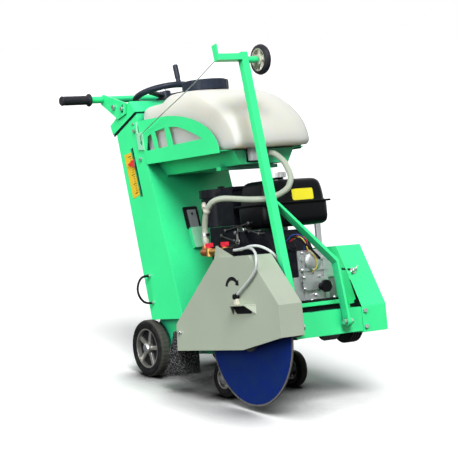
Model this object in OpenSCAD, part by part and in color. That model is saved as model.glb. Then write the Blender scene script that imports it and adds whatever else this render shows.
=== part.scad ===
// Walk-behind concrete saw, standing on its four wheels with the blade just clear of the ground.
// Most pieces are drawn in the chassis frame: x forward, y to the operator's left, z up,
// with the rear axle on the y axis. The chassis frame is then pitched nose up and set on its wheels.

/* [Stance] */
// Nose-up pitch of the chassis with the front wheels lowered
pitch = 9; // [6:0.5:10]
// Shift that brings the middle of the machine's length over the origin
origin_x = -291; // [-320:1:-270]

/* [Wheels] */
// Diameter of the rear wheels
rear_wheel_d = 200; // [190:1:200]
// Outer face of the rear tyres from the centre line
rear_wheel_y = 186; // [184:1:196]
// Width of the rear tyres
rear_wheel_w = 45; // [36:1:46]
// Diameter of the front wheels
front_wheel_d = 126; // [116:1:126]
// Outer face of the front tyres from the centre line
front_wheel_y = 158; // [152:1:160]
// Width of the front tyres
front_wheel_w = 36; // [30:1:38]

/* [Base] */
// Half width of the base over its side rails
base_half = 136; // [134:1:137]
// Front face of the front beam
base_front = 830; // [825:1:835]
// Top of the base and its deck
base_top = 100; // [98:1:101]

/* [Column] */
// Half width of the column
column_half = 168; // [166:1:168]
// Wall of the column and its lid
column_wall = 3; // [2:0.5:4]

/* [Blade] */
// Diameter of the saw blade
blade_d = 450; // [400:10:450]
// Thickness of the blade's core
blade_t = 4; // [3:0.5:5]
// Middle plane of the blade
blade_y = -205; // [-210:1:-200]
// Outer face of the blade guard
guard_outer = -262; // [-264:1:-258]
// Inner face of the blade guard
guard_inner = -172; // [-176:1:-171]

/* [Handles] */
// Half width over the ends of the handlebar
bar_half = 349; // [330:1:360]
// Diameter of the handlebar tube
bar_d = 25; // [22:1:27]
// Diameter of the depth handwheel at the middle of its rim
handwheel_d = 210; // [190:5:220]
// Diameter of the handwheel's rim section
handwheel_rim = 22; // [16:1:24]

/* [Guide arm] */
// Side of the square guide pole
pole_w = 25; // [22:1:30]
// Diameter of the guide wheel
guide_wheel_d = 100; // [90:1:104]

/* [Hidden] */
$fn = 48;

// Turning points and centres in the chassis frame, as [x, z]
blade_at = [677, 39];
crank_at = [600, 206];
swing_at = [290, 32];
front_axle_at = [424, -104.6];
hinge_at = [856, 60];
tilt_at = [-80, 865];
rake = 12.5;
screw_top = [-20, 0, 901];
cap_at = [246, 0];
fuel_cap_at = [600, 8];

// Shafts, pins and running clearance
axle_r = 10;
hinge_r = 6;
run_gap = 0.05;
shaft_r = 15;
arbor_r = 12.7;
screw_r = 11;

// Side profile of the column, from its foot to under the lid
column_front_low = [232, 100];
column_front_high = [43.8, 826];
column_profile = [[30, 100], column_front_low, column_front_high, [23, 850], [6, 868.5], [-105, 811.4]];
column_inside = [[33, 90], [228.5, 90], [40, 824], [19, 849], [6, 880], [-102, 830]];
front_run = column_front_low - column_front_high;
front_lean = atan(-front_run[0] / front_run[1]);
lid_profile = [[12, 876], [46, 836], [-116, 768], [-130, 803]];
lid_inside = [[10.5, 871.4], [49, 826], [-113, 757], [-125.5, 801.4]];
lid_half = column_half + 4;

// Side profile of the blade guard and its cavity
guard_profile = [[323, 0], [330, 90], [593, 302], [783, 302], [921, 142], [921, 40], [707, 2]];
guard_hollow = [[326, -20], [333, 88.5], [594, 299], [781.6, 299], [918, 141], [918, -20]];
guard_wall = 3;

// Water tank outlines: from the side, from above and from the front
tank_half = 153;
tank_back = 44;
tank_nose = 622;
tank_low = 655;
tank_top = 880;
tank_side = [[92, 655], [58, 785], [61, 830], [76, 845], [172, 848], [184, 868], [198, 877], [320, 877],
             [416, 864], [492, 838], [560, 786], [602, 730], [621, 684], [622, 668], [612, 655]];
tank_inside = [[96, 659], [62, 785], [65, 828], [78, 841], [174, 844], [187, 865], [200, 873], [320, 873],
               [415, 860], [490, 834], [557, 783], [598, 728], [617, 683], [618, 669], [610, 659]];
tank_front = [[-1, 655], [-1, 790], [-0.92, 836], [-0.78, 864], [-0.62, 877], [-0.5, 880], [0.5, 880],
              [0.62, 877], [0.78, 864], [0.92, 836], [1, 790], [1, 655]];

// Routes of the flexible lines, in the chassis frame
hose_d = 20;
hose_route = [[572, -20, 636], [572, -2, 636], [590, 15, 631], [640, 12, 605], [675, 2, 578], [712, -14, 544],
              [735, -45, 510], [742, -86, 490], [734, -122, 480], [712, -142, 478], [650, -160, 483],
              [590, -178, 491], [555, -193, 493], [524, -206, 484], [495, -211, 456], [472, -206, 418],
              [462, -202, 392], [462, -202, 372]];
tube_d = 9;
near_tube_route = [[648, -224, 322], [668, -224, 322], [704, -226, 325], [748, -234, 326], [790, -248, 320],
                   [824, -263, 306], [838, -272, 284], [832, -273, 260], [808, -273, 236], [776, -273, 214.5],
                   [742.4, -273, 195], [719.9, -273, 182]];
far_tube_route = [[648, -206, 322], [668, -206, 322], [704, -197, 330], [736, -188, 329], [764, -177, 318],
                  [783, -164, 300], [786, -150, 276], [780, -140, 254], [766, -138, 240], [753, -143, 236],
                  [748, -153, 236], [748, -162.6, 236]];
wire_d = 3;
wire_route = [[80, -179.5, 750], [280, -205, 808], [480, -228, 866], [684.8, -251, 935]];
loop_d = 8;
loop_route = [[40, -176, 255], [40, -188, 255], [43, -206, 250], [45, -221, 232], [46, -227, 208],
              [47, -221, 184], [48, -206, 166], [48, -188, 160], [48, -176, 160]];
loom_d = 7;
loom_route = [[677.8, -30, 340], [684.8, -30, 343.9], [698, -29, 349], [712, -24, 348], [724, -12, 338],
              [732, 6, 320], [736, 28, 298], [735, 50, 278], [731, 60, 270.5], [722.1, 60, 270.5]];

green = "mediumspringgreen";
steel = "lightsteelblue";
alloy = "silver";
black = "#202226";

// Sets pieces from the chassis frame on the ground
module chassis() {
    translate([origin_x, 0, rear_wheel_d / 2]) rotate([0, -pitch, 0]) children();
}

// A plate between y = from and y = to with an outline in x and z
module side_plate(from, to, outline) {
    translate([0, to, 0]) rotate([90, 0, 0]) linear_extrude(to - from) polygon(outline);
}

// A round bar along y at [x, z]
module cross_bar(at, from, to, r) {
    translate([at[0], to, at[1]]) rotate([90, 0, 0]) cylinder(h = to - from, r = r);
}

// A block between two corners
module block(low, high) {
    translate(low) cube(high - low);
}

// A round bar along x
module long_bar(from, to, y, z, r) {
    translate([from, y, z]) rotate([0, 90, 0]) cylinder(h = to - from, r = r);
}

// A hexagon head with its seat at z = 0
module hex_head(across, height) {
    cylinder(h = height, r = across / 2 / cos(30), $fn = 6);
}

// A hexagon head on the side of the machine, its axis along y; out is -1 for the right side
module side_head(at, y, across, height, out = -1) {
    translate([at[0], y, at[1]]) rotate([-90 * out, 0, 0]) hex_head(across, height);
}

// A tube swept along a route
function unit(v) = v / norm(v);
function heading(p, i) = unit(p[min(i + 1, len(p) - 1)] - p[max(i - 1, 0)]);
function carried(p, i, up) = i == 0
    ? unit(cross(heading(p, 0), up))
    : let (t = heading(p, i), n = carried(p, i - 1, up)) unit(n - (n * t) * t);
module line(route, d, sides = 10, up = [0, 0, 1]) {
    last = len(route) - 1;
    rings = [for (i = [0:last]) let (n = carried(route, i, up), b = cross(heading(route, i), n))
        for (k = [0:sides - 1])
            route[i] + d / 2 * (n * cos(360 * k / sides) + b * sin(360 * k / sides))];
    walls = [for (i = [0:last - 1], k = [0:sides - 1])
        let (a = i * sides + k, c = i * sides + (k + 1) % sides)
            each [[a, a + sides, c], [c, a + sides, c + sides]]];
    start_cap = [for (k = [1:sides - 2]) [0, k, k + 1]];
    end_cap = [for (k = [1:sides - 2]) [last * sides, last * sides + k + 1, last * sides + k]];
    polyhedron(points = rings, faces = concat(start_cap, walls, end_cap));
}

// Base: side rails, deck, front beam and the lugs of the guide arm
rail_t = 5;
rail_outline = [[-24, -24], [350, -24], [395, 20], [base_front, 20], [base_front, base_top], [36, base_top],
                [-24, 40]];
arch_at = [481, 17];
arch_r = 70;
module rail(from) {
    difference() {
        side_plate(from, from + rail_t, rail_outline);
        cross_bar(arch_at, from - 1, from + rail_t + 1, arch_r);
        cross_bar([0, 0], from - 1, from + rail_t + 1, axle_r);
        cross_bar(swing_at, from - 1, from + rail_t + 1, axle_r + run_gap);
        cross_bar(blade_at, from - 1, from + rail_t + 1, shaft_r + 2);
    }
}
module hinge_lug(from) {
    difference() {
        union() {
            cross_bar(hinge_at, from, from + 6, 15);
            block([base_front - 2, from, hinge_at[1] - 13], [hinge_at[0], from + 6, hinge_at[1] + 13]);
        }
        cross_bar(hinge_at, from - 1, from + 7, hinge_r);
    }
}
pole_y = -152;
pole_lug = pole_y + pole_w / 2 + 0.5;
brace_y = 48;
brace_t = 8;
brace_lug = brace_y + brace_t + 0.5;
deck_t = 4;
module base_frame() {
    color(green) chassis() {
        inner = base_half - rail_t;
        rail(-base_half);
        rail(inner);
        difference() {
            block([236, -inner - 1, base_top - deck_t], [base_front - 2, inner + 1, base_top]);
            for (y = [-90, 20]) block([752, y, 90], [800, y + 75, 110]);
            block([300, -60, 90], [480, 60, 110]);
        }
        block([44, -inner - 1, 20], [48, inner + 1, base_top - 2]);
        block([base_front - rail_t, -inner - 1, 22], [base_front, inner + 1, base_top + 2]);
        hinge_lug(pole_lug);
        hinge_lug(brace_lug);
    }
}

// Column: a raked sheet-metal tower with a slot for the depth pointer and a pocket for the spanner
slot_w = 8;
pointer_at = [7, 655];
module column_shell() {
    color(green) chassis() {
        inner = column_half - column_wall;
        difference() {
            side_plate(-column_half, column_half, column_profile);
            side_plate(-inner, inner, column_inside);
            translate([pointer_at[0], 0, pointer_at[1]]) rotate([0, -rake, 0])
                block([-slot_w / 2, -column_half - 1, -122], [slot_w / 2, -inner + 1, 56]);
        }
        difference() {
            translate(screw_top) rotate([0, -rake, 0]) block([-42, -inner - 1, -86], [22, inner + 1, -80]);
            translate(screw_top) rotate([0, -rake, 0]) translate([0, 0, -90])
                cylinder(h = 20, r = screw_r + run_gap);
        }
        spanner_pocket();
    }
}

// Places things on the column's raked front face: x out of the face, z up the face from its foot
module on_front_face() {
    translate([column_front_low[0], 0, column_front_low[1]]) rotate([0, -front_lean, 0]) children();
}
module spanner_pocket() {
    on_front_face() difference() {
        block([-1, -60, 245], [14, -10, 320]);
        block([0, -57, 248], [11, -13, 321]);
    }
}
module spanner() {
    color(steel) chassis() on_front_face() {
        difference() {
            block([2, -54, 249], [8, -20, 385]);
            translate([0, -37, 370]) rotate([0, 90, 0]) cylinder(h = 10, r = 5);
        }
    }
}

module column_lid() {
    color(green) chassis() difference() {
        side_plate(-lid_half, lid_half, lid_profile);
        side_plate(-lid_half + column_wall, lid_half - column_wall, lid_inside);
        translate(screw_top) rotate([0, -rake, 0]) translate([0, 0, -100]) cylinder(h = 100, r = 18);
        for (side = [-1, 1]) cross_bar(tilt_at, side * lid_half - 5, side * lid_half + 5, hinge_r);
    }
}

// Tilting handlebar: two bracket plates, the bar and its grips
bracket_in = lid_half + 0.5;
bracket_t = 6;
bar_at = [-160, 902];
clamp_at = [-27, 854];
clamp_arm = clamp_at - tilt_at;
clamp_reach = norm(clamp_arm);
clamp_angle = atan2(clamp_arm[1], clamp_arm[0]);
bracket_outline = [[-176, 908], [-150, 919], [-2, 872], [-10, 834], [-64, 820], [-92, 838], [-168, 884]];
bracket_from = [-bracket_in - bracket_t, bracket_in];
module handle_brackets() {
    color(green) chassis() for (from = bracket_from) difference() {
        side_plate(from, from + bracket_t, bracket_outline);
        cross_bar(tilt_at, from - 1, from + bracket_t + 1, hinge_r + run_gap);
        cross_bar(bar_at, from - 1, from + bracket_t + 1, bar_d / 2);
        translate([tilt_at[0], from + bracket_t + 1, tilt_at[1]]) rotate([90, 0, 0])
            rotate(clamp_angle - 16) rotate_extrude(angle = 32) translate([clamp_reach - 5, 0])
                square([10, bracket_t + 2]);
    }
}
grip_l = 118;
grip_d = 33;
module handle_bar() {
    color(green) chassis() difference() {
        cross_bar(bar_at, -bar_half + 4, bar_half - 4, bar_d / 2);
        cross_bar(bar_at, -bar_half + 3, bar_half - 3, bar_d / 2 - 3);
    }
}
module grip(side) {
    end = side * bar_half;
    stop = end - side * 4;
    flange = side * (bar_half - grip_l);
    mouth = flange - side * 10;
    difference() {
        union() {
            cross_bar(bar_at, min(end, flange), max(end, flange), grip_d / 2);
            cross_bar(bar_at, min(flange, flange - side * 9), max(flange, flange - side * 9), 23);
        }
        cross_bar(bar_at, min(mouth, stop), max(mouth, stop), bar_d / 2);
    }
}
module grips() {
    color(black) chassis() for (side = [-1, 1]) grip(side);
}

// Tank tray: a trough bolted to the column, with an arched side plate on each side
tray_t = 2.5;
tray_front = 557;
trough = [[-168, 650], [-125, 650], [-97, 602], [97, 602], [125, 650], [168, 650], [168, 652.5],
          [123.6, 652.5], [95.6, 604.5], [-95.6, 604.5], [-123.6, 652.5], [-168, 652.5]];
trough_end = [[-125, 650], [-97, 602], [97, 602], [125, 650]];
arch_low = 645;
arch_x = 190;
arch_drop = 151;
arch_top = 801;
arch_long = tray_front - arch_x - 16;
arch_outline = concat([[40, arch_low], [tray_front - 16, arch_low]],
    [for (a = [0:9:90]) [arch_x + arch_long * cos(a), arch_top - arch_drop + arch_drop * sin(a)]],
    [[40, arch_top]]);
windows = [[[98, 692], [150, 694], [134, 748], [112, 742]],
           [[174, 694], [233, 696], [222, 760], [160, 754]],
           [[268, 697], [446, 701], [410, 719], [358, 739], [300, 756], [250, 761]]];
module behind_column_face() {
    on_front_face() block([-300, -400, -100], [0.2, 400, 900]);
}
module tank_tray() {
    color(green) chassis() difference() {
        union() {
            rotate([90, 0, 90]) translate([0, 0, 50]) linear_extrude(tray_front - 50) polygon(trough);
            difference() {
                translate([tray_front - tray_t, 0, 0]) rotate([90, 0, 90]) linear_extrude(tray_t)
                    polygon(trough_end);
                block([tray_front - 5, -74, 608], [tray_front + 5, -16, 660]);
            }
            for (from = [-170.5, 168]) difference() {
                side_plate(from, from + tray_t, arch_outline);
                for (hole = windows) side_plate(from - 1, from + tray_t + 1, hole);
            }
            on_front_face() block([0, -95, 517], [tray_t, 95, 560]);
            block([440, -118, 590], [466, 118, 602]);
        }
        behind_column_face();
    }
}

// Water tank: a hollow moulding with a wide filler neck and an outlet under its front edge
neck_r = 66;
neck_top = 898;
module tank_form(side_outline, half, corner, low, high) {
    intersection() {
        side_plate(-half, half, side_outline);
        translate([0, 0, low]) linear_extrude(high - low) union() {
            block_2d([tank_back, -half + corner], [tank_nose, half - corner]);
            block_2d([tank_back + corner, -half], [tank_nose - corner, half]);
            for (x = [tank_back + corner, tank_nose - corner], y = [-half + corner, half - corner])
                translate([x, y]) circle(corner);
        }
        rotate([90, 0, 90]) linear_extrude(700)
            polygon([for (p = tank_front) [p[0] * half, p[1] - tank_top + high]]);
    }
}
module block_2d(low, high) {
    translate(low) square(high - low);
}
module water_tank() {
    color("cornsilk") chassis() difference() {
        union() {
            difference() {
                tank_form(tank_side, tank_half, 32, tank_low, tank_top);
                tank_form(tank_inside, tank_half - 4, 30, tank_low + 4, tank_top - 4);
            }
            translate([cap_at[0], cap_at[1], 872]) cylinder(h = neck_top - 872, r = neck_r);
            block([560, -70, 612], [584, -20, 657]);
        }
        translate([cap_at[0], cap_at[1], 860]) cylinder(h = 60, r = neck_r - 5);
        translate([572, -45, 622]) cylinder(h = 40, r = 9);
    }
}
cap_r = 80;
module tank_cap() {
    color(black) chassis() translate([cap_at[0], cap_at[1], 0]) difference() {
        translate([0, 0, 881.5]) union() {
            cylinder(h = 33, r = cap_r);
            translate([0, 0, 33]) cylinder(h = 3, r = cap_r - 10);
            for (k = [0:23]) rotate(k * 15) translate([cap_r - 1, -3, 2]) cube([2.5, 6, 28]);
        }
        translate([0, 0, 880]) cylinder(h = neck_top + 0.5 - 880, r = neck_r + 1);
    }
}

// Water lines
module water_hose() {
    color("gainsboro") chassis() line(hose_route, hose_d, 12, [1, 0, 0]);
}
module spray_tube_near() {
    color("whitesmoke") chassis() line(near_tube_route, tube_d, 10, [0, 1, 0]);
}
module spray_tube_far() {
    color("whitesmoke") chassis() line(far_tube_route, tube_d, 10, [0, 1, 0]);
}
valve_z = 322;
tap_at = [500, 590];
valve_y = -215;
valve_end = 458;
inlet_r = 7;
inlet_l = 10;
inlet_at = [462, -202];
stem_top = 334;
module water_valve() {
    color("darkgoldenrod") chassis() {
        difference() {
            union() {
                long_bar(valve_end, 630, valve_y, valve_z, 11);
                translate([inlet_at[0], inlet_at[1], valve_z]) cylinder(h = 50, r = 10);
                translate([inlet_at[0], inlet_at[1], valve_z - 12]) cylinder(h = 36, r = 13);
                for (x = tap_at) translate([x, valve_y, stem_top - 27]) cylinder(h = 27, r = 14);
            }
            block([valve_end - 20, -240, valve_z - 20], [valve_end, -180, valve_z + 14]);
            long_bar(valve_end - 1, valve_end + inlet_l, valve_y, valve_z, inlet_r);
        }
        translate([630, -233, valve_z - 7]) cube([18, 36, 14]);
    }
}
module tap_lever(x) {
    translate([x, valve_y, stem_top + 0.5]) {
        cylinder(h = 4, r = 9);
        block([-15, -6, 4], [15, 6, 17]);
    }
}
module tap_lever_rear() {
    color("crimson") chassis() tap_lever(tap_at[0]);
}
module tap_lever_front() {
    color("crimson") chassis() tap_lever(tap_at[1]);
}
elbow_at = [706, 174];
elbow_turn = 60;
clip_r = hose_d / 2 + 0.05;
clip_t = 2.5;
module hose_clip() {
    difference() {
        union() {
            cylinder(h = 10, r = clip_r + clip_t);
            translate([clip_r, -5, 1]) cube([10, 10, 8]);
        }
        translate([0, 0, -1]) cylinder(h = 12, r = clip_r);
    }
}
module hose_fittings() {
    color(black) chassis() {
        translate([0, guard_outer, 0]) {
            cross_bar(elbow_at, -16.5, 0, 9);
            translate([elbow_at[0], -11, elbow_at[1]]) rotate([0, elbow_turn, 0]) cylinder(h = 16, r = 6);
        }
        translate([748, guard_inner, 236]) rotate([-90, 0, 0]) cylinder(h = 9.4, r = 8);
    }
    color(steel) chassis() {
        translate([inlet_at[0], inlet_at[1], 375]) hose_clip();
        translate([572, -17, 636]) rotate([-90, 0, 0]) hose_clip();
    }
}

// Blade guard: outer plate, inner plate and the wall between them, with the valve bracket and nozzle shelf
hood_top = 147;
hood_out = guard_outer - 26;
gusset = [[545, 258], [597, 300], [574.5, 302], [574.5, 325], [567, 340], [558, 340]];
module hood_end(outline) {
    intersection() {
        translate([0, 0, hood_top - 40]) linear_extrude(40) polygon(outline);
        translate([650, 0, 0]) rotate([90, 0, 90]) linear_extrude(170) polygon(
            [[guard_outer + 2, hood_top - 1], [hood_out, hood_top - 1], [guard_outer + 2, hood_top - 34]]);
    }
}
module blade_guard() {
    color("silver") chassis() {
        difference() {
            side_plate(guard_outer, guard_inner, guard_profile);
            side_plate(guard_outer + guard_wall, guard_inner - guard_wall, guard_hollow);
            cross_bar(blade_at, guard_inner - 20, guard_inner + 1, 32);
        }
        difference() {
            side_plate(-229, -226, gusset);
            cross_bar([564, 298], -230, -225, 4);
        }
        translate([0, 0, hood_top - 2.5]) linear_extrude(2.5)
            polygon([[668, guard_outer], [691, hood_out], [771, hood_out], [800, guard_outer]]);
        hood_end([[671, guard_outer + 1], [668, guard_outer + 1], [691, hood_out], [694, hood_out]]);
        hood_end([[797, guard_outer + 1], [800, guard_outer + 1], [771, hood_out], [768, hood_out]]);
        for (x = [345, 565]) block([x, guard_inner, 50], [x + 38, -base_half, 85]);
    }
}
module splash_brush() {
    color("dimgray") chassis() side_plate(guard_outer + 4, guard_inner - 4,
        [[300, 65], [321.5, 65], [321.5, -40], [316, -82], [236, -82], [276, 0]]);
}

// Engine: block with its finned barrel, covers, tanks and controls
case_y = -18;
case_top = 300;
cowl_outline = [[374, 402], [512, 402], [512, 380], [572, 380], [600, 330], [600, 290], [440, 290],
                [374, 262]];
pin_r = 3;
module engine_block() {
    color(alloy) chassis() {
        difference() {
            union() {
                block([515, case_y, base_top], [715, 100, case_top]);
                block([495, case_y + 2, base_top], [730, 98, base_top + 14]);
                cross_bar(crank_at, 100, 116, 62);
                for (z = [130:34:280]) block([715, case_y + 8, z], [722, 92, z + 9]);
                for (y = [-4, 38, 80]) block([715, y, 114], [720, y + 9, 286]);
            }
            cross_bar(crank_at, 70, 120, 20 + run_gap);
            block([527, case_y + 12, base_top + 26], [703, 58, case_top - 12]);
        }
        translate([crank_at[0] - 80, 10, crank_at[1] + 20]) rotate([0, -65, 0]) {
            translate([-42, -38, -20]) cube([84, 80, 190]);
            for (k = [0:9]) translate([-66, -62, 20 + k * 15]) cube([132, 124, 6]);
            translate([-60, -58, 170]) cube([120, 116, 34]);
        }
    }
}
module fan_shroud() {
    color(black) chassis() {
        difference() {
            union() {
                cross_bar(crank_at, -122, -62, 104);
                side_plate(-122, -62, [[440, 300], [600, 310], [600, 130], [510, 130], [440, 210]]);
                block([650, -122, 128], [710, case_y, case_top - 2]);
                side_plate(-122, -106, cowl_outline);
            }
            cross_bar(crank_at, -110, -61, 96);
        }
        side_plate(-70, 60, [[560, case_top], [700, case_top], [660, 372], [560, 372]]);
        difference() {
            cross_bar(crank_at, -148, -122, 78);
            for (k = [0:11]) translate([crank_at[0], 0, crank_at[1]]) rotate([0, k * 30, 0])
                block([44, -149, -4], [70, -144, 4]);
        }
        translate([556, -140, 296]) rotate([30, 0, 0]) cylinder(h = 24, r = 12);
        cross_bar(throttle_at, -132, -121, pin_r);
    }
}
pull_at = [556, -152, 316.8];
module starter_grip() {
    color(black) chassis() translate(pull_at) rotate([30, 0, 0]) {
        translate([0, 0, 0.5]) cylinder(h = 12, r = 7);
        block([-24, -7, 12], [24, 7, 24]);
        for (x = [-24, 24]) translate([x, 7, 18]) rotate([90, 0, 0]) cylinder(h = 14, r = 6);
    }
}
switch_at = [520, -122, 270];
module engine_switch() {
    color("firebrick") chassis() translate(switch_at) {
        cross_bar([0, 0], -6, -0.5, 10);
        block([-3, -13, -9], [3, -6, 9]);
    }
}
fuel_low = 383;
module fuel_tank() {
    color(black) chassis() difference() {
        union() {
            fuel_half(464, 528, 8);
            block([514, -118, 458], [694, 163, 464]);
            fuel_half(fuel_low, 458, 0);
            translate([0, 0, 528]) linear_extrude(12) fuel_outline(12);
            translate([fuel_cap_at[0], fuel_cap_at[1], 540]) cylinder(h = 7, r = 24);
        }
        fuel_half(fuel_low + 4, 456, 4);
        fuel_half(455, 525, 12);
        fuel_half(524, 536, 16);
        translate([fuel_cap_at[0], fuel_cap_at[1], 530]) cylinder(h = 30, r = 19);
    }
}
module fuel_outline(inset) {
    low = [520 + inset, -112 + inset];
    high = [688 - inset, 157 - inset];
    r = 26;
    block_2d(low + [r, 0], high - [r, 0]);
    block_2d(low + [0, r], high - [0, r]);
    for (x = [low[0] + r, high[0] - r], y = [low[1] + r, high[1] - r]) translate([x, y]) circle(r);
}
module fuel_half(low, high, inset) {
    translate([0, 0, low]) linear_extrude(high - low) fuel_outline(inset);
}
fuel_cap_r = 32;
module fuel_cap() {
    color(steel) chassis() translate([fuel_cap_at[0], fuel_cap_at[1], 547.5]) {
        cylinder(h = 18, r = fuel_cap_r);
        for (k = [0:11]) rotate(k * 30) translate([fuel_cap_r - 1, -3, 1]) cube([3, 6, 15]);
    }
}
air_at = [352, -45];
module air_cleaner() {
    color(black) chassis() {
        difference() {
            translate([air_at[0], air_at[1], 404]) cylinder(h = 100, r = 72);
            translate([air_at[0], air_at[1], 408]) cylinder(h = 92, r = 68);
        }
        translate([air_at[0], air_at[1], 504]) cylinder(h = 28, r = 78);
        translate([air_at[0], air_at[1], 532]) cylinder(h = 9, r = 12, $fn = 6);
        block([412, -112, 404], [508, 16, 520]);
        block([440, -110, 520], [512, 40, 532]);
    }
}
module muffler() {
    color("dimgray") chassis() {
        difference() {
            block([310, 68, 360], [480, 128, 480]);
            block([313, 71, 363], [477, 121, 477]);
            for (x = [326:18:460]) block([x, 124, 384], [x + 9, 129, 456]);
        }
        block([420, 78, 330], [460, 112, 360]);
        long_bar(280, 310, 98, 440, 14);
    }
}
module carburettor() {
    color(alloy) chassis() {
        block([452, -100, 330], [506, -66, 384]);
        translate([478, -84, 384]) cylinder(h = 20, r = 18);
        translate([478, -84, 306]) cylinder(h = 24, r = 17);
        block([506, -94, 340], [556, -88, 372]);
        long_bar(506, 600, -76, 378, 3);
    }
}
throttle_at = [540, 346];
module throttle_lever() {
    color(steel) chassis() {
        difference() {
            union() {
                cross_bar(throttle_at, -129, -125.5, 11);
                side_plate(-129, -125.5, [[534, 346], [546, 346], [544, 376], [536, 376]]);
            }
            cross_bar(throttle_at, -130, -120, pin_r + run_gap);
        }
        cross_bar([540, 378], -137, -125.5, 6);
    }
}
module oil_plugs() {
    color(black) chassis() {
        long_bar(722, 748, 60, 178, 12);
        translate([748, 60, 178]) rotate([0, 90, 0]) cylinder(h = 10, r = 20);
        for (y = [0, 74]) translate([730, y, 108]) rotate([0, 90, 0]) hex_head(12, 8);
    }
}
module engine_wires() {
    color("darkred") chassis() line(loom_route, loom_d, 8, [1, 0, 0]);
}

// Belt drive on the left side, under its guard
belt_in = 138;
belt_out = 239;
belt_outline = [[552, 17], [base_front, 17], [base_front, 103], [723, 304], [535, 304], [535, 130],
                [552, 100]];
belt_hollow = [[555, 10], [827, 10], [827, 102], [721, 301], [538, 301], [538, 131], [555, 101]];
module belt_guard() {
    color(green) chassis() difference() {
        side_plate(belt_in, belt_out, belt_outline);
        side_plate(belt_in + 3, belt_out - 3, belt_hollow);
        cross_bar(crank_at, belt_in - 1, belt_in + 4, 66);
        cross_bar(blade_at, belt_in - 1, belt_in + 4, 48);
        translate([765.6, 0, 224]) rotate([0, -28, 0]) block([-8, 144, -4], [8, 172, 4]);
    }
}
pulley_from = 172;
pulley_w = 40;
drive_r = 52;
driven_r = 60;
belt_h = 8;
belt_seats = [4, 16, 28];
module pulley(r) {
    cylinder(h = pulley_w, r = r - belt_h);
    for (z = [0:12:36]) translate([0, 0, z]) cylinder(h = 4, r = r);
}
module drive_belts() {
    color("#15171a") chassis() for (seat = belt_seats)
        translate([0, pulley_from + seat + 7.6, 0]) rotate([90, 0, 0]) linear_extrude(7.2) difference() {
            hull() belt_circles(0);
            hull() belt_circles(-belt_h + 0.3);
        }
}
module belt_circles(grow) {
    translate(crank_at) circle(drive_r + grow);
    translate(blade_at) circle(driven_r + grow);
}
module drive_pulley() {
    color("dimgray") chassis() {
        translate([crank_at[0], pulley_from + pulley_w, crank_at[1]]) rotate([90, 0, 0]) pulley(drive_r);
        cross_bar(crank_at, 75, pulley_from, 20);
    }
}
module blade_shaft() {
    color(steel) chassis() {
        cross_bar(blade_at, -190, pulley_from, shaft_r);
        cross_bar(blade_at, -232, -190, arbor_r);
        translate([blade_at[0], pulley_from + pulley_w, blade_at[1]]) rotate([90, 0, 0]) pulley(driven_r);
    }
}
module blade_bearings() {
    color("gray") chassis() for (span = [[guard_inner, -base_half], [base_half - 45, base_half - rail_t]])
        difference() {
            cross_bar(blade_at, span[0], span[1], 44);
            cross_bar(blade_at, span[0] - 1, span[1] + 1, shaft_r + run_gap);
        }
}
module blade() {
    slots = 28;
    r = blade_d / 2;
    color("midnightblue") chassis() difference() {
        cross_bar(blade_at, blade_y - blade_t / 2, blade_y + blade_t / 2, r);
        cross_bar(blade_at, blade_y - 5, blade_y + 5, arbor_r);
        for (k = [0:slots - 1]) translate([blade_at[0], blade_y, blade_at[1]]) rotate([0, k * 360 / slots, 0])
            block([r - 14, -5, -1.2], [r + 1, 5, 1.2]);
    }
}
flange_r = 47;
module blade_flanges() {
    color("gray") chassis() {
        difference() {
            union() {
                cross_bar(blade_at, blade_y + blade_t / 2, blade_y + blade_t / 2 + 10, flange_r);
                cross_bar(blade_at, blade_y - blade_t / 2 - 8, blade_y - blade_t / 2, flange_r);
            }
            cross_bar(blade_at, blade_y - 20, blade_y + 20, arbor_r);
        }
        difference() {
            side_head(blade_at, blade_y - blade_t / 2 - 8, 38, 16);
            cross_bar(blade_at, blade_y - 40, blade_y, arbor_r);
        }
    }
}

// Wheels
module rim(at, y_mid, r, w, bore, spokes) {
    translate([at[0], y_mid, at[1]]) rotate([90, 0, 0]) difference() {
        union() {
            difference() {
                cylinder(h = w, r = r, center = true);
                cylinder(h = w + 1, r = r - 5, center = true);
            }
            cylinder(h = w + 4, r = bore + 9, center = true);
            for (k = [0:spokes - 1]) rotate(k * 360 / spokes) translate([bore + 4, -7, -w * 0.3])
                cube([r - bore - 6, 14, w * 0.6]);
        }
        cylinder(h = w + 10, r = bore, center = true);
    }
}
module tyre(at, y_mid, r, r_in, w) {
    translate([at[0], y_mid, at[1]]) rotate([90, 0, 0]) rotate_extrude($fn = 72)
        polygon([[r_in, -w / 2 + 3], [r - 12, -w / 2], [r - 3, -w / 2 + 5], [r, -w / 2 + 12], [r, w / 2 - 12],
                 [r - 3, w / 2 - 5], [r - 12, w / 2], [r_in, w / 2 - 3]]);
}
rear_mid = rear_wheel_y - rear_wheel_w / 2;
rear_rim_r = 70;
front_mid = front_wheel_y - front_wheel_w / 2;
front_rim_r = 36;
module rear_rim(side) {
    color(alloy) chassis() rim([0, 0], side * rear_mid, rear_rim_r, rear_wheel_w - 8, axle_r + run_gap, 5);
}
module rear_tyre(side) {
    color(black) chassis() tyre([0, 0], side * rear_mid, rear_wheel_d / 2, rear_rim_r, rear_wheel_w);
}
module front_rim(side) {
    color(alloy) chassis()
        rim(front_axle_at, side * front_mid, front_rim_r, front_wheel_w - 6, axle_r + run_gap, 4);
}
module front_tyre(side) {
    color(black) chassis()
        tyre(front_axle_at, side * front_mid, front_wheel_d / 2, front_rim_r, front_wheel_w);
}
module rear_rim_right() { rear_rim(-1); }
module rear_rim_left() { rear_rim(1); }
module rear_tyre_right() { rear_tyre(-1); }
module rear_tyre_left() { rear_tyre(1); }
module front_rim_right() { front_rim(-1); }
module front_rim_left() { front_rim(1); }
module front_tyre_right() { front_tyre(-1); }
module front_tyre_left() { front_tyre(1); }
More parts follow.
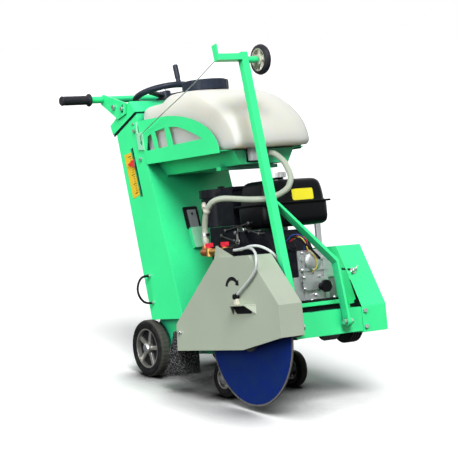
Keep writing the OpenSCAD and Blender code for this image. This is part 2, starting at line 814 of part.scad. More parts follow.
module rear_axle() {
    color(steel) chassis() {
        cross_bar([0, 0], -rear_wheel_y + 1, rear_wheel_y - 1, axle_r);
        for (side = [-1, 1]) translate([0, side * (rear_wheel_y - 1), 0]) rotate([-90 * side, 0, 0])
            cylinder(h = 3, r = 14);
    }
}

// Depth gear: swing arm with the front axle, screw, nut with its push rod and pointer, handwheel
lever_l = 160;
lever_rise = 12;
roller_r = 15;
roller_at = swing_at + lever_l * [-cos(lever_rise), sin(lever_rise)];
arm_dir = unit(front_axle_at - swing_at);
arm_side = [-arm_dir[1], arm_dir[0]];
arm_y = front_wheel_y - front_wheel_w - 12;
lever_dir = unit(roller_at - swing_at);
lever_side = [-lever_dir[1], lever_dir[0]];
function strip(a, b, across, half) = let (wide = across * half) [a + wide, a - wide, b - wide, b + wide];
module swing_arm() {
    color(green) chassis() {
        cross_bar(swing_at, -base_half, base_half, axle_r);
        cross_bar(front_axle_at, -front_wheel_y + 1, front_wheel_y - 1, axle_r);
        for (side = [-1, 1]) side_plate(side * arm_y - 4, side * arm_y + 4,
            strip(swing_at - arm_dir * 18, front_axle_at + arm_dir * 18, arm_side, 20));
        for (from = [-30, 24]) side_plate(from, from + 6,
            strip(swing_at - lever_dir * 16, roller_at + lever_dir * 10, lever_side, 13));
        cross_bar(roller_at, -30, 30, roller_r);
        for (side = [-1, 1]) cross_bar(front_axle_at, side > 0 ? front_wheel_y - 1 : -front_wheel_y - 2,
            side > 0 ? front_wheel_y + 2 : -front_wheel_y + 1, 13);
    }
}
module on_screw() {
    translate(screw_top) rotate([0, -rake, 0]) children();
}
nut_s = -256;
foot_low = roller_at[1] + roller_r + 1;
module lift_nut() {
    color("gray") chassis() {
        on_screw() difference() {
            union() {
                translate([0, 0, nut_s - 20]) cylinder(h = 40, r = 24);
                translate([0, 0, -828]) cylinder(h = 828 + nut_s - 20, r = 17);
            }
            translate([0, 0, -680]) cylinder(h = 680, r = screw_r + 0.08);
        }
        block([116, -20, foot_low], [172, 20, foot_low + 8]);
        translate([0, 0, pointer_at[1]]) block([4.5, -column_half - 6, -3], [9.5, -20, 3]);
        color("red") side_plate(-column_half - 6, -column_half - 1.5, [[-34, 654], [12, 672], [12, 640]]);
    }
}
module lift_screw() {
    color(steel) chassis() on_screw() {
        translate([0, 0, -600]) cylinder(h = 588, r = screw_r);
        translate([0, 0, -79.5]) cylinder(h = 12, r = 20);
    }
}
knob_angle = 0;
module handwheel() {
    color(black) chassis() on_screw() difference() {
        union() {
            rotate_extrude($fn = 72) translate([handwheel_d / 2, 0]) circle(handwheel_rim / 2, $fn = 24);
            translate([0, 0, -26]) cylinder(h = 32, r = 24);
            for (k = [0:2]) rotate(k * 120 + 60) translate([16, -11, -13])
                cube([handwheel_d / 2 - 20, 22, 8]);
            rotate(knob_angle) translate([handwheel_d / 2, 0, 5]) cylinder(h = 9, r = 9);
        }
        translate([0, 0, -30]) cylinder(h = 18, r = screw_r);
    }
}
module crank_knob() {
    color(black) chassis() on_screw() rotate(knob_angle) translate([handwheel_d / 2, 0, 14.4]) {
        cylinder(h = 10, r = 8);
        translate([0, 0, 10]) cylinder(h = 46, r = 9.5);
        translate([0, 0, 56]) cylinder(h = 3, r = 7.5);
    }
}

// Guide arm: square pole with its crossbar, brace, wheel and pointer flag
pole_lean = 0.18;
pole_top = 956;
cross_z = 940;
function pole_x(z) = hinge_at[0] - pole_lean * (z - hinge_at[1]);
lean_angle = atan(pole_lean);
module on_pole() {
    translate([hinge_at[0], 0, hinge_at[1]]) rotate([0, -lean_angle, 0]) children();
}
pole_l = (pole_top - hinge_at[1]) / cos(lean_angle);
guide_y = -84;
guide_w = 26;
guide_s = (932 - hinge_at[1]) / cos(lean_angle);
module guide_pole() {
    hollow = pole_w - 6;
    color(green) chassis() on_pole() difference() {
        union() {
            block([-pole_w / 2, pole_y - pole_w / 2, 0], [pole_w / 2, pole_y + pole_w / 2, pole_l]);
            cross_bar([0, 0], pole_y - pole_w / 2, pole_y + pole_w / 2, pole_w / 2);
            block([-13, -258, guide_s - 2], [13, pole_y - pole_w / 2, guide_s + 19]);
            block([-13, -258, guide_s - 2], [13, -254, guide_s + 52]);
            cross_bar([0, guide_s], pole_y + pole_w / 2, guide_y - guide_w / 2 - 2, 11);
            cross_bar([0, guide_s], guide_y - guide_w / 2 - 2, guide_y + guide_w / 2 + 8, 8);
        }
        block([-hollow / 2, pole_y - hollow / 2, 30], [hollow / 2, pole_y + hollow / 2, pole_l - 3]);
        cross_bar([0, 0], pole_y - pole_w, pole_y + pole_w, hinge_r + run_gap);
    }
}
brace_bend = 202;
brace_join = 405;
brace_w = 36;
module guide_brace() {
    reach = pole_y + pole_w / 2;
    far = brace_y + brace_t;
    color(green) chassis() on_pole() difference() {
        union() {
            cross_bar([0, 0], brace_y, brace_y + brace_t, brace_w / 2 - 3);
            block([-brace_w / 2 + 3, brace_y, 0], [brace_w / 2 - 3, brace_y + brace_t, brace_bend]);
            translate([-brace_w / 2 + 3, 0, 0]) rotate([90, 0, 90]) linear_extrude(brace_w - 6)
                polygon([[brace_y, brace_bend - 6], [far, brace_bend], [far, brace_bend + 3],
                         [reach, brace_join + 6], [reach, brace_join - 5]]);
        }
        cross_bar([0, 0], brace_y - 1, brace_y + brace_t + 1, hinge_r + run_gap);
    }
}
module guide_rim() {
    color("cornsilk") chassis() on_pole() rim([0, guide_s], guide_y, 38, guide_w - 6, 8 + run_gap, 5);
}
module guide_tyre() {
    color(black) chassis() on_pole() tyre([0, guide_s], guide_y, guide_wheel_d / 2, 38, guide_w);
}

// Hook for the hold-up wire and the wire itself
module wire_hook() {
    color(green) chassis() difference() {
        union() {
            side_plate(-173.5, -170.5, [[48, 700], [86, 696], [80, 760], [40, 760]]);
            block([46, -176, 756], [52, -170.5, 798]);
        }
        cross_bar([70, 722], -180, -168, 8);
        side_plate(-180, -168, [[66, 722], [73, 722], [69, 746], [63, 746]]);
    }
    color(steel) chassis() cross_bar([76, 750], -178, -173.5, 4);
}
module hold_up_wire() {
    color(steel) chassis() line(wire_route, wire_d, 8);
}
module cable_loop() {
    color(black) chassis() line(loop_route, loop_d, 8, [1, 0, 0]);
}

// Bolts, nuts and pins that hold the frame together
module frame_bolts() {
    color(steel) chassis() {
        for (end = [[40, 255], [48, 160]]) cross_bar(end, -176, -column_half, 7);
        for (at = [[26, 769], [52, 667]]) side_head(at, -column_half, 13, 6);
        side_head([20, 795], -column_half, 8, 4);
        cross_bar(hinge_at, pole_y - pole_w / 2 - 0.5, pole_lug + 6, hinge_r);
        side_head(hinge_at, pole_lug + 6, 18, 9, 1);
        cross_bar(hinge_at, brace_y - 0.5, brace_lug + 6, hinge_r);
        side_head(hinge_at, brace_y - 0.5, 18, 9);
        side_head(hinge_at, brace_lug + 6, 18, 9, 1);
        for (side = [-1, 1]) {
            low = side > 0 ? lid_half - column_wall : -bracket_in - bracket_t - 0.4;
            high = side > 0 ? bracket_in + bracket_t + 0.4 : -lid_half + column_wall;
            cross_bar(tilt_at, low, high, hinge_r);
            side_head(tilt_at, side * (bracket_in + bracket_t + 0.4), 17, 8, side);
            cross_bar(clamp_at, side > 0 ? lid_half : low, side > 0 ? high : -lid_half, 4);
            side_head(clamp_at, side * (bracket_in + bracket_t + 0.4), 13, 7, side);
        }
        for (x = [344, 355]) side_head([x, 61], guard_outer, 9, 6);
        for (z = [36, 88]) translate([base_front, 148, z]) rotate([0, 90, 0]) hex_head(13, 7);
    }
}

base_frame();
column_shell();
column_lid();
tank_tray();
water_tank();
tank_cap();
water_hose();
hose_fittings();
water_valve();
tap_lever_rear();
tap_lever_front();
spray_tube_near();
spray_tube_far();
blade_guard();
splash_brush();
engine_block();
fan_shroud();
fuel_tank();
fuel_cap();
air_cleaner();
muffler();
carburettor();
throttle_lever();
starter_grip();
engine_switch();
oil_plugs();
engine_wires();
belt_guard();
drive_belts();
blade_bearings();
rear_axle();
frame_bolts();
wire_hook();
hold_up_wire();
cable_loop();
spanner();
handle_brackets();
handle_bar();
grips();
rear_rim_right();
rear_tyre_right();
rear_rim_left();
rear_tyre_left();
swing_arm();
front_rim_right();
front_tyre_right();
front_rim_left();
front_tyre_left();
lift_nut();
handwheel();
lift_screw();
crank_knob();
blade();
blade_flanges();
blade_shaft();
drive_pulley();
guide_pole();
guide_brace();
guide_rim();
guide_tyre();
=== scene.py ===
import math
import random
import bmesh
import bpy
from mathutils import Matrix, Vector


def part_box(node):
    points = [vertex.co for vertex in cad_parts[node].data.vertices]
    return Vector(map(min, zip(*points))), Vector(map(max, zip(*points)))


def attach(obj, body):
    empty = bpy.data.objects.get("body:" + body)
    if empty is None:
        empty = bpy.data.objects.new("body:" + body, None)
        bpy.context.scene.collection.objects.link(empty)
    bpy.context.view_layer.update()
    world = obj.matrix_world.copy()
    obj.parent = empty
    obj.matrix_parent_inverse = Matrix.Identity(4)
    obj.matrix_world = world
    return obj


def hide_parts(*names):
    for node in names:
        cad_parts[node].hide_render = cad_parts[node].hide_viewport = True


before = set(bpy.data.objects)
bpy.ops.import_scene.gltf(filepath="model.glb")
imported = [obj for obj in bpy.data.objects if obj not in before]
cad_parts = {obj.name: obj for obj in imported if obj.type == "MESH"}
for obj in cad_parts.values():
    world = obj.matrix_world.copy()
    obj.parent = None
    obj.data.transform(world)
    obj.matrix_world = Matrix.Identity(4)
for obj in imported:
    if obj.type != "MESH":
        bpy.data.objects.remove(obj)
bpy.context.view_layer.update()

print("frame loaded,", len(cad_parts), "solids")

# chassis frame in millimetres: x forward, y to the operator's left, z up, rear axle at the origin
stance = {"pitch": 9, "originX": -291, "axleHeight": 100}
wheelSizes = {"rear": {"hub": (0, 0), "radius": 100}, "front": {"hub": (424, -104.6), "radius": 63}}
bladeSize = {"hub": (677, 39), "radius": 225}
chassis = Matrix.Translation((stance["originX"] / 1000, 0, stance["axleHeight"] / 1000))
chassis = chassis @ Matrix.Rotation(math.radians(-stance["pitch"]), 4, "Y") @ Matrix.Scale(0.001, 4)


def place(x, y, z):
    return chassis @ Vector((x, y, z))


# camera: eye, aim and far in metres, lens and sensor in millimetres
view = {
    "eye": (5.00262, -3.53874, 1.30353), "aim": (0.1751, -0.15413, 0.571), "far": 60, "lens": 141.27,
    "sensor": 36,
}


def addCamera():
    lens = bpy.data.cameras.new("viewLens")
    lens.lens = view["lens"]
    lens.sensor_width = view["sensor"]
    lens.clip_end = view["far"]
    camera = bpy.data.objects.new("viewCamera", lens)
    camera.location = view["eye"]
    aim = Vector(view["aim"]) - Vector(view["eye"])
    camera.rotation_euler = aim.to_track_quat("-Z", "Y").to_euler()
    bpy.context.scene.collection.objects.link(camera)
    bpy.context.scene.camera = camera


addCamera()
print("camera set")


# a shader socket that takes part in arithmetic
class Wire:
    def __init__(self, graph, socket):
        self.graph = graph
        self.socket = socket

    def __add__(self, other):
        return self.graph.maths("ADD", self, other)

    def __radd__(self, other):
        return self.graph.maths("ADD", other, self)

    def __sub__(self, other):
        return self.graph.maths("SUBTRACT", self, other)

    def __rsub__(self, other):
        return self.graph.maths("SUBTRACT", other, self)

    def __mul__(self, other):
        return self.graph.maths("MULTIPLY", self, other)

    def __rmul__(self, other):
        return self.graph.maths("MULTIPLY", other, self)


# makes the nodes of one tree and links them
class NodeGraph:
    def __init__(self, tree):
        self.tree = tree

    def node(self, kind, settings=None, inputs=None, output=0):
        made = self.tree.nodes.new("ShaderNode" + kind)
        for key, value in (settings or {}).items():
            setattr(made, key, value)
        for key, value in (inputs or {}).items():
            self.feed(made.inputs[key], value)
        return Wire(self, made.outputs[output])

    def feed(self, socket, value):
        if isinstance(value, Wire):
            self.tree.links.new(value.socket, socket)
        else:
            socket.default_value = value

    def maths(self, operation, first, second=0.0):
        return self.node("Math", {"operation": operation}, {0: first, 1: second})


# one material: a Principled shader with its nodes
class Finish(NodeGraph):
    def __init__(self, name, **fixed):
        self.material = bpy.data.materials.new(name)
        self.material.use_nodes = True
        super().__init__(self.material.node_tree)
        self.shader = self.tree.nodes["Principled BSDF"]
        self.set(**fixed)

    def set(self, **sockets):
        for key, value in sockets.items():
            self.feed(self.shader.inputs[key.replace("_", " ")], value)

    def spot(self):
        return self.node("TexCoord", output="Object")

    def noise(self, scale, detail=3, rough=0.55, stretch=None):
        where = self.spot()
        if stretch:
            where = self.node("Mapping", inputs={"Vector": where, "Scale": stretch})
        inputs = {"Vector": where, "Scale": scale, "Detail": detail, "Roughness": rough}
        return self.node("TexNoise", inputs=inputs)

    def patches(self, scale, detail, low, high):
        return self.ramp(self.noise(scale, detail), low, high)

    def ramp(self, value, low, high):
        inputs = {"Value": value, "From Min": low, "From Max": high}
        return self.node("MapRange", {"clamp": True}, inputs)

    def blend(self, amount, first, second):
        inputs = {0: amount, 6: first, 7: second}  # 6 and 7 are the colour pair
        return self.node("Mix", {"data_type": "RGBA"}, inputs, output=2)

    def shades(self, amount, colour, gains):
        return self.blend(amount, *[tint(colour, gain) for gain in gains])

    # 0 in a recess, 1 in the open
    def openness(self, reach, low, high):
        clear = self.node("AmbientOcclusion", {"samples": 8}, {"Distance": reach}, output="AO")
        return self.ramp(clear, low, high)

    # across, up and out from an axle that runs along y
    def fromAxle(self, hub):
        split = self.node("SeparateXYZ", inputs={0: self.spot()}).socket.node
        across = Wire(self, split.outputs["X"]) - hub[0]
        upward = Wire(self, split.outputs["Z"]) - hub[2]
        return across, upward, self.maths("SQRT", across * across + upward * upward)

    def relief(self, height, depth, edge=0.0):
        inputs = {"Height": height, "Distance": depth, "Strength": 1.0}
        if edge:
            inputs["Normal"] = self.node("Bevel", {"samples": 4}, {"Radius": edge})
        self.set(Normal=self.node("Bump", inputs=inputs))


def tint(colour, gain):
    return tuple(min(1.0, part * gain) for part in colour) + (1.0,)


def grey(value):
    return (value, value, value, 1)


# in the looks below a noise is its scale and detail, and a patch adds the range that it takes
# a recess shade, like the floor's shade, is a reach in metres and a range of openness
# painted sheet: faint clouds, fine specks, a dimpled skin and, where given, painted shade that darkens it in
# recesses
paintLook = {
    "clouds": (3.5, 4, 0.3, 0.75), "tones": (0.94, 1.05), "specks": (160, 2, 0.62, 0.78), "speckTone": 0.55,
    "recess": (0.3, 0.2, 0.8), "sheen": (22, 3), "sheenGain": 0.14, "coatRough": 0.12, "coatLoss": 0.5,
    "skin": (620, 2), "depth": 0.00006, "edge": 0.0016,
}


def paintFinish(name, colour, rough, coat=0.0, grime=0.12, shine=0.45, recess=None, own=paintLook):
    look = Finish(name, Coat_Roughness=own["coatRough"], Specular_IOR_Level=shine)
    speck = look.patches(*own["specks"])
    tone = look.shades(look.patches(*own["clouds"]), colour, own["tones"])
    tone = look.blend(speck * grime, tone, tint(colour, own["speckTone"]))
    # painted shade: where occlusion closes the surface in, the colour turns to the given dark tone
    if recess:
        tone = look.blend(look.openness(*own["recess"]), (*recess, 1), tone)
    sheen = rough + own["sheenGain"] * look.noise(*own["sheen"])
    look.set(Base_Color=tone, Roughness=sheen)
    if coat:
        look.set(Coat_Weight=coat * (1 - own["coatLoss"] * speck))
    look.relief(look.noise(*own["skin"]), own["depth"], own["edge"])
    return look.material


# moulded plastic and rubber: clouded, dusty and grained
plasticLook = {
    "clouds": (6, 3), "tones": (0.85, 1.15), "cloudRough": 0.08, "dust": (34, 4, 0.5, 0.85),
    "dustShare": 0.04, "dustTone": (0.35, 0.34, 0.32, 1), "dustRough": 0.16, "edge": 0.0016,
}


def plasticFinish(name, colour, rough, grain=900, depth=0.00005, own=plasticLook, **fixed):
    look = Finish(name, **fixed)
    cloud = look.noise(*own["clouds"])
    dust = look.patches(*own["dust"])
    tone = look.shades(cloud, colour, own["tones"])
    tone = look.blend(dust * own["dustShare"], tone, own["dustTone"])
    sheen = rough + own["dustRough"] * dust + own["cloudRough"] * cloud
    look.set(Base_Color=tone, Roughness=sheen)
    look.relief(look.noise(grain, detail=2), depth, own["edge"])
    return look.material


# bare metal, brushed along one axis or cast with a sandy skin, both stained
brushedLook = {
    "metal": 1.0, "grain": (70, 4, 0.6), "stretch": (1, 14, 1), "tones": (0.8, 1.12),
    "stains": (18, 4, 0.45, 0.8), "stainShare": 0.3, "stainTone": 0.45, "stainRough": 0.2,
    "grainRough": 0.1, "depth": 0.00002, "edge": 0.0012,
}
castLook = {
    "metal": 0.85, "grain": (420, 3, 0.55), "stretch": None, "tones": (0.82, 1.1),
    "stains": (14, 5, 0.42, 0.75), "stainShare": 0.35, "stainTone": 0.4, "stainRough": 0.0,
    "grainRough": 0.18, "depth": 0.00035, "edge": 0.002,
}


def metalFinish(name, colour, rough, kind):
    look = Finish(name, Metallic=kind["metal"])
    grain = look.noise(*kind["grain"], kind["stretch"])
    stain = look.patches(*kind["stains"])
    tone = look.shades(grain, colour, kind["tones"])
    tone = look.blend(stain * kind["stainShare"], tone, tint(colour, kind["stainTone"]))
    look.set(Base_Color=tone, Roughness=rough + kind["stainRough"] * stain + kind["grainRough"] * grain)
    look.relief(grain, kind["depth"], kind["edge"])
    return look.material


# clear or milky hose with a film inside
hoseLook = {
    "coat": 0.3, "coatRough": 0.15, "bend": 1.4, "film": (16, 4), "tones": (0.86, 1.1), "rough": 0.22,
    "filmRough": 0.2, "ripple": (220, 2), "depth": 0.00012,
}


def hoseFinish(name, colour, clear, own=hoseLook):
    look = Finish(name, Transmission_Weight=clear, IOR=own["bend"])
    look.set(Coat_Weight=own["coat"], Coat_Roughness=own["coatRough"])
    film = look.noise(*own["film"])
    tone = look.shades(film, colour, own["tones"])
    look.set(Base_Color=tone, Roughness=own["rough"] + own["filmRough"] * film)
    look.relief(look.noise(*own["ripple"]), own["depth"])
    return look.material


# the water tank's milky plastic, lit through and a little scuffed
tankLook = {
    "colour": (0.70, 0.695, 0.63), "inside": 0.8, "insideScale": 0.12, "insideTint": (1.0, 0.85, 0.6),
    "shine": 0.2, "clouds": (5, 4), "tones": (0.95, 1.03), "scuffs": (60, 4, 0.6, (1, 1, 5)),
    "scuffRange": (0.62, 0.8), "scuffShare": 0.15, "scuffTone": (0.62, 0.6, 0.52, 1), "rough": 0.42,
    "cloudRough": 0.15, "skin": (300, 2), "depth": 0.00008,
}


def tankFinish(name, own=tankLook):
    look = Finish(name, Subsurface_Weight=own["inside"], Subsurface_Scale=own["insideScale"])
    look.set(Subsurface_Radius=own["insideTint"], Specular_IOR_Level=own["shine"])
    cloud = look.noise(*own["clouds"])
    scuff = look.ramp(look.noise(*own["scuffs"]), *own["scuffRange"])
    tone = look.shades(cloud, own["colour"], own["tones"])
    tone = look.blend(scuff * own["scuffShare"], tone, own["scuffTone"])
    look.set(Base_Color=tone, Roughness=own["rough"] + own["cloudRough"] * cloud)
    look.relief(look.noise(*own["skin"]), own["depth"])
    return look.material


# pale tips between dark strands
bristleLook = {
    "shine": 0.15, "tips": (240, 3, 0.5, 0.64), "dark": (0.006, 0.006, 0.008, 1),
    "pale": (0.19, 0.195, 0.195, 1), "rough": 0.75, "tipRough": 0.15, "strands": (260, 3), "depth": 0.0006,
}


def bristleFinish(name, own=bristleLook):
    look = Finish(name, Specular_IOR_Level=own["shine"])
    tips = look.patches(*own["tips"])
    tone = look.blend(tips, own["dark"], own["pale"])
    look.set(Base_Color=tone, Roughness=own["rough"] + own["tipRough"] * tips)
    look.relief(look.noise(*own["strands"]), own["depth"])
    return look.material


# tread blocks come from the angle round the wheel's own axle, rings on the wall from the distance to it
tyreLook = {
    "shine": 0.1, "treadFrom": 0.93, "treadTo": 0.985, "blocks": 40, "blockRange": (0.1, 0.3), "rings": 260,
    "ringDepth": 0.25, "rubber": (0.005, 0.005, 0.006, 1), "dust": (45, 5, 0.42, 0.8), "dustShare": 0.4,
    "dustTone": (0.06, 0.058, 0.054, 1), "dustRough": 0.2, "treadShare": 0.6,
    "treadTone": (0.085, 0.085, 0.072, 1), "rough": 0.62, "grain": (500, 2), "grainDepth": 0.12,
    "depth": 0.0012,
}


def tyreFinish(name, hub, radius, own=tyreLook):
    look = Finish(name, Specular_IOR_Level=own["shine"])
    across, upward, reach = look.fromAxle(hub)
    turn = look.maths("ARCTAN2", upward, across)
    tread = look.ramp(reach, radius * own["treadFrom"], radius * own["treadTo"])
    block = look.maths("PINGPONG", turn * (own["blocks"] / math.pi), 1.0)
    block = look.ramp(block, *own["blockRange"])
    ring = look.maths("PINGPONG", reach * own["rings"], 1.0)
    dust = look.patches(*own["dust"])
    tone = look.blend(dust * own["dustShare"], own["rubber"], own["dustTone"])
    tone = look.blend(tread * own["treadShare"], tone, own["treadTone"])
    look.set(Base_Color=tone, Roughness=own["rough"] + own["dustRough"] * dust)
    grain = look.noise(*own["grain"]) * own["grainDepth"]
    look.relief(tread * block + (1 - tread) * ring * own["ringDepth"] + grain, own["depth"])
    return look.material


# blue core and ground rim, by distance from the arbor
bladeLook = {
    "shine": 0.12, "rimWide": 0.006, "rimBlend": 0.001, "rimTone": (0.14, 0.13, 0.125, 1),
    "grain": (140, 4), "blues": ((0.002, 0.010, 0.075, 1), (0.004, 0.026, 0.21, 1)),
    "blotches": (26, 5, 0.4, 0.7), "blotchShare": 0.5, "blotchTone": (0.007, 0.03, 0.085, 1), "rough": 0.42,
    "rimRough": 0.25, "grainRough": 0.1, "rimGrain": (700, 2), "depth": 0.00012, "edge": 0.0008,
}


def bladeFinish(name, hub, radius, own=bladeLook):
    look = Finish(name, Specular_IOR_Level=own["shine"])
    reach = look.fromAxle(hub)[2]
    rimFrom = radius - own["rimWide"]
    rim = look.ramp(reach, rimFrom, rimFrom + own["rimBlend"])
    grain = look.noise(*own["grain"])
    core = look.blend(grain, *own["blues"])
    blotch = look.patches(*own["blotches"]) * own["blotchShare"]
    core = look.blend(blotch, core, own["blotchTone"])
    sheen = own["rough"] + own["rimRough"] * rim + own["grainRough"] * grain
    look.set(Base_Color=look.blend(rim, core, own["rimTone"]), Roughness=sheen)
    height = grain + rim * look.noise(*own["rimGrain"])
    look.relief(height, own["depth"], own["edge"])
    return look.material


machineGreen = {"colour": (0.045, 0.94, 0.32), "rough": 0.36, "coat": 0.2}
paints = {
    # the green's recess colour is painted shade, a dark teal in its crevices
    "greenPaint": {**machineGreen, "recess": (0.012, 0.25, 0.16)},
    "coverPaint": machineGreen,
    "paleGreen": {"colour": (0.33, 0.78, 0.50), "rough": 0.42, "coat": 0.15},
    "guardPaint": {"colour": (0.40, 0.455, 0.36), "rough": 0.42, "coat": 0.15},
    "blackGloss": {"colour": (0.002, 0.0025, 0.0035), "rough": 0.26, "grime": 0.2, "shine": 0.1},
    "scaleYellow": {"colour": (0.86, 0.56, 0.02), "rough": 0.35, "coat": 0.3},
    "patchYellow": {"colour": (0.92, 0.82, 0.02), "rough": 0.35, "coat": 0.2},
}
plastics = {
    "blackPlastic": {"colour": (0.005, 0.006, 0.010), "rough": 0.34, "Specular_IOR_Level": 0.12},
    "capPlastic": {"colour": (0.012, 0.018, 0.034), "rough": 0.38, "Specular_IOR_Level": 0.25},
    "mattBlack": {"colour": (0.006, 0.006, 0.008), "rough": 0.58, "Specular_IOR_Level": 0.12},
    "gripRubber": {"colour": (0.012, 0.012, 0.018), "rough": 0.5, "grain": 500, "depth": 0.00012,
                   "Specular_IOR_Level": 0.25},
    "redPlastic": {"colour": (0.78, 0.015, 0.045), "rough": 0.28},
    "pointerRed": {"colour": (0.80, 0.03, 0.02), "rough": 0.4},
    "creamRim": {"colour": (0.62, 0.60, 0.50), "rough": 0.38},
    "yellowWire": {"colour": (0.75, 0.62, 0.06), "rough": 0.4},
    "blueWire": {"colour": (0.02, 0.06, 0.30), "rough": 0.4},
    "brownBrass": {"colour": (0.34, 0.12, 0.05), "rough": 0.36, "Metallic": 0.7},
}
metals = {
    "zincSteel": {"colour": (0.62, 0.63, 0.64), "rough": 0.26, "kind": brushedLook},
    "darkSteel": {"colour": (0.10, 0.10, 0.105), "rough": 0.45, "kind": brushedLook},
    "toolSteel": {"colour": (0.27, 0.30, 0.31), "rough": 0.42, "kind": brushedLook},
    "valveBrass": {"colour": (0.52, 0.31, 0.09), "rough": 0.3, "kind": {**brushedLook, "stretch": (1, 1, 1)}},
    "castAlloy": {"colour": (0.52, 0.55, 0.55), "rough": 0.4, "kind": castLook},
    "castIron": {"colour": (0.2, 0.2, 0.21), "rough": 0.55, "kind": castLook},
    "wheelAlloy": {"colour": (0.43, 0.43, 0.40), "rough": 0.3, "kind": castLook},
}
hoses = {
    "clearHose": {"colour": (0.52, 0.575, 0.465), "clear": 0.2},
    "whiteTube": {"colour": (0.66, 0.70, 0.69), "clear": 0.1},
}
tyres = {end + "Tyre": {"hub": place(facts["hub"][0], 0, facts["hub"][1]), "radius": facts["radius"] / 1000}
         for end, facts in wheelSizes.items()}
bladeHub = place(bladeSize["hub"][0], 0, bladeSize["hub"][1])
finishes = {"tankPlastic": tankFinish("tankPlastic"), "bristles": bristleFinish("bristles"),
            "bladeBlue": bladeFinish("bladeBlue", bladeHub, bladeSize["radius"] / 1000)}
makers = ((paintFinish, paints), (plasticFinish, plastics), (metalFinish, metals), (hoseFinish, hoses),
          (tyreFinish, tyres))
for makeFinish, rows in makers:
    for name, facts in rows.items():
        finishes[name] = makeFinish(name, **facts)
print("finishes made:", len(finishes))

# what each solid is finished in
coats = {
    "greenPaint": ["base_frame", "column_shell", "column_lid", "tank_tray", "handle_brackets",
                   "handle_bar", "guide_pole", "guide_brace", "swing_arm"],
    "coverPaint": ["belt_guard"],
    "paleGreen": ["wire_hook"],
    "tankPlastic": ["water_tank"],
    "blackPlastic": ["air_cleaner", "fan_shroud", "hose_fittings", "starter_grip"],
    "capPlastic": ["tank_cap", "handwheel", "crank_knob"],
    "clearHose": ["water_hose"],
    "whiteTube": ["spray_tube_near", "spray_tube_far"],
    "valveBrass": ["water_valve"],
    "redPlastic": ["tap_lever_rear", "tap_lever_front", "engine_switch"],
    "guardPaint": ["blade_guard"],
    "bristles": ["splash_brush"],
    "castAlloy": ["engine_block", "carburettor"],
    "blackGloss": ["fuel_tank", "oil_plugs"],
    "zincSteel": ["fuel_cap", "throttle_lever", "rear_axle", "frame_bolts", "hold_up_wire", "lift_screw"],
    "darkSteel": ["muffler", "blade_shaft"],
    "toolSteel": ["spanner"],
    "mattBlack": ["engine_wires", "cable_loop", "drive_belts"],
    "gripRubber": ["grips", "guide_tyre"],
    "castIron": ["blade_bearings", "blade_flanges", "drive_pulley", "lift_nut"],
    "bladeBlue": ["blade"],
    "wheelAlloy": ["rear_rim_right", "rear_rim_left", "front_rim_right", "front_rim_left"],
    "creamRim": ["guide_rim"],
    "rearTyre": ["rear_tyre_right", "rear_tyre_left"],
    "frontTyre": ["front_tyre_right", "front_tyre_left"],
}
for coat, nodeNames in coats.items():
    for nodeName in nodeNames:
        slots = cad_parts[nodeName].data.materials
        slots.clear()
        slots.append(finishes[coat])
print("solids finished")


# gathers faces in chassis millimetres and turns them into one object
class Shape:
    def __init__(self):
        self.mesh = bmesh.new()
        self.base = Matrix.Identity(4)

    def at(self, spot, toward=(0, 0, 1), spin=0.0):
        turn = Vector(toward).to_track_quat("Z", "Y").to_matrix().to_4x4()
        self.base = Matrix.Translation(spot) @ turn @ Matrix.Rotation(math.radians(spin), 4, "Z")
        return self

    def axes(self, spot, across, upward):
        across, upward = Vector(across).normalized(), Vector(upward).normalized()
        turn = Matrix((across, upward, across.cross(upward))).transposed().to_4x4()
        self.base = Matrix.Translation(spot) @ turn
        return self

    def onSide(self, y):
        return self.axes((0, y, 0), (1, 0, 0), (0, 0, 1))

    def home(self):
        self.base = Matrix.Identity(4)
        return self

    def loft(self, rings, joined=False):
        made = [[self.mesh.verts.new(self.base @ Vector(spot)) for spot in ring] for ring in rings]
        pairs = list(zip(made, made[1:])) + ([(made[-1], made[0])] if joined else [])
        for near, far in pairs:
            for i in range(len(near)):
                self.mesh.faces.new((near[i - 1], near[i], far[i], far[i - 1]))
        if not joined:
            self.mesh.faces.new(made[0][::-1])
            self.mesh.faces.new(made[-1])
        return self

    # a profile's points are radius and height
    def lathe(self, profile, sides=40, joined=False):
        turns = [2 * math.pi * i / sides for i in range(sides)]
        rings = [[(r * math.cos(a), r * math.sin(a), h) for a in turns] for r, h in profile]
        return self.loft(rings, joined)

    def plate(self, outline, thick, low=0.0):
        return self.loft([[(x, y, height) for x, y in outline] for height in (low, low + thick)])

    def block(self, low, high):
        corners = [(low[0], low[1]), (high[0], low[1]), (high[0], high[1]), (low[0], high[1])]
        return self.plate(corners, high[2] - low[2], low[2])

    # radius is a number, or a function of the point's place in the path
    def pipe(self, path, radius, sides):
        path = [Vector(spot) for spot in path]
        turns = [2 * math.pi * k / sides for k in range(sides)]
        up = Vector((0.13, 0.21, 0.97))  # no path here runs along it
        rings = []
        for i, spot in enumerate(path):
            along = (path[min(i + 1, len(path) - 1)] - path[max(i - 1, 0)]).normalized()
            side = along.cross(up).normalized()
            up = side.cross(along)
            size = radius(i) if callable(radius) else radius
            rings.append([spot + (side * math.cos(a) + up * math.sin(a)) * size for a in turns])
        return self.loft(rings)

    # keen is the angle from which an edge is sharp, and is rounded where there is a bevel
    def build(self, name, coat, body="chassis", bevel=0.0, replaced=(), keen=35):
        bmesh.ops.recalc_face_normals(self.mesh, faces=self.mesh.faces[:])
        if bevel:
            edges = [e for e in self.mesh.edges if len(e.link_faces) == 2]
            sharp = [e for e in edges if e.calc_face_angle() > math.radians(keen)]
            bmesh.ops.bevel(self.mesh, geom=sharp, offset=bevel, segments=2, affect="EDGES",
                            clamp_overlap=True)
        self.mesh.transform(chassis)
        mesh = bpy.data.meshes.new(name)
        self.mesh.to_mesh(mesh)
        self.mesh.free()
        mesh.materials.append(finishes[coat])
        mesh.shade_smooth()
        mesh.set_sharp_from_angle(angle=math.radians(keen))
        adopt(bpy.data.objects.new(name, mesh), body, replaced)


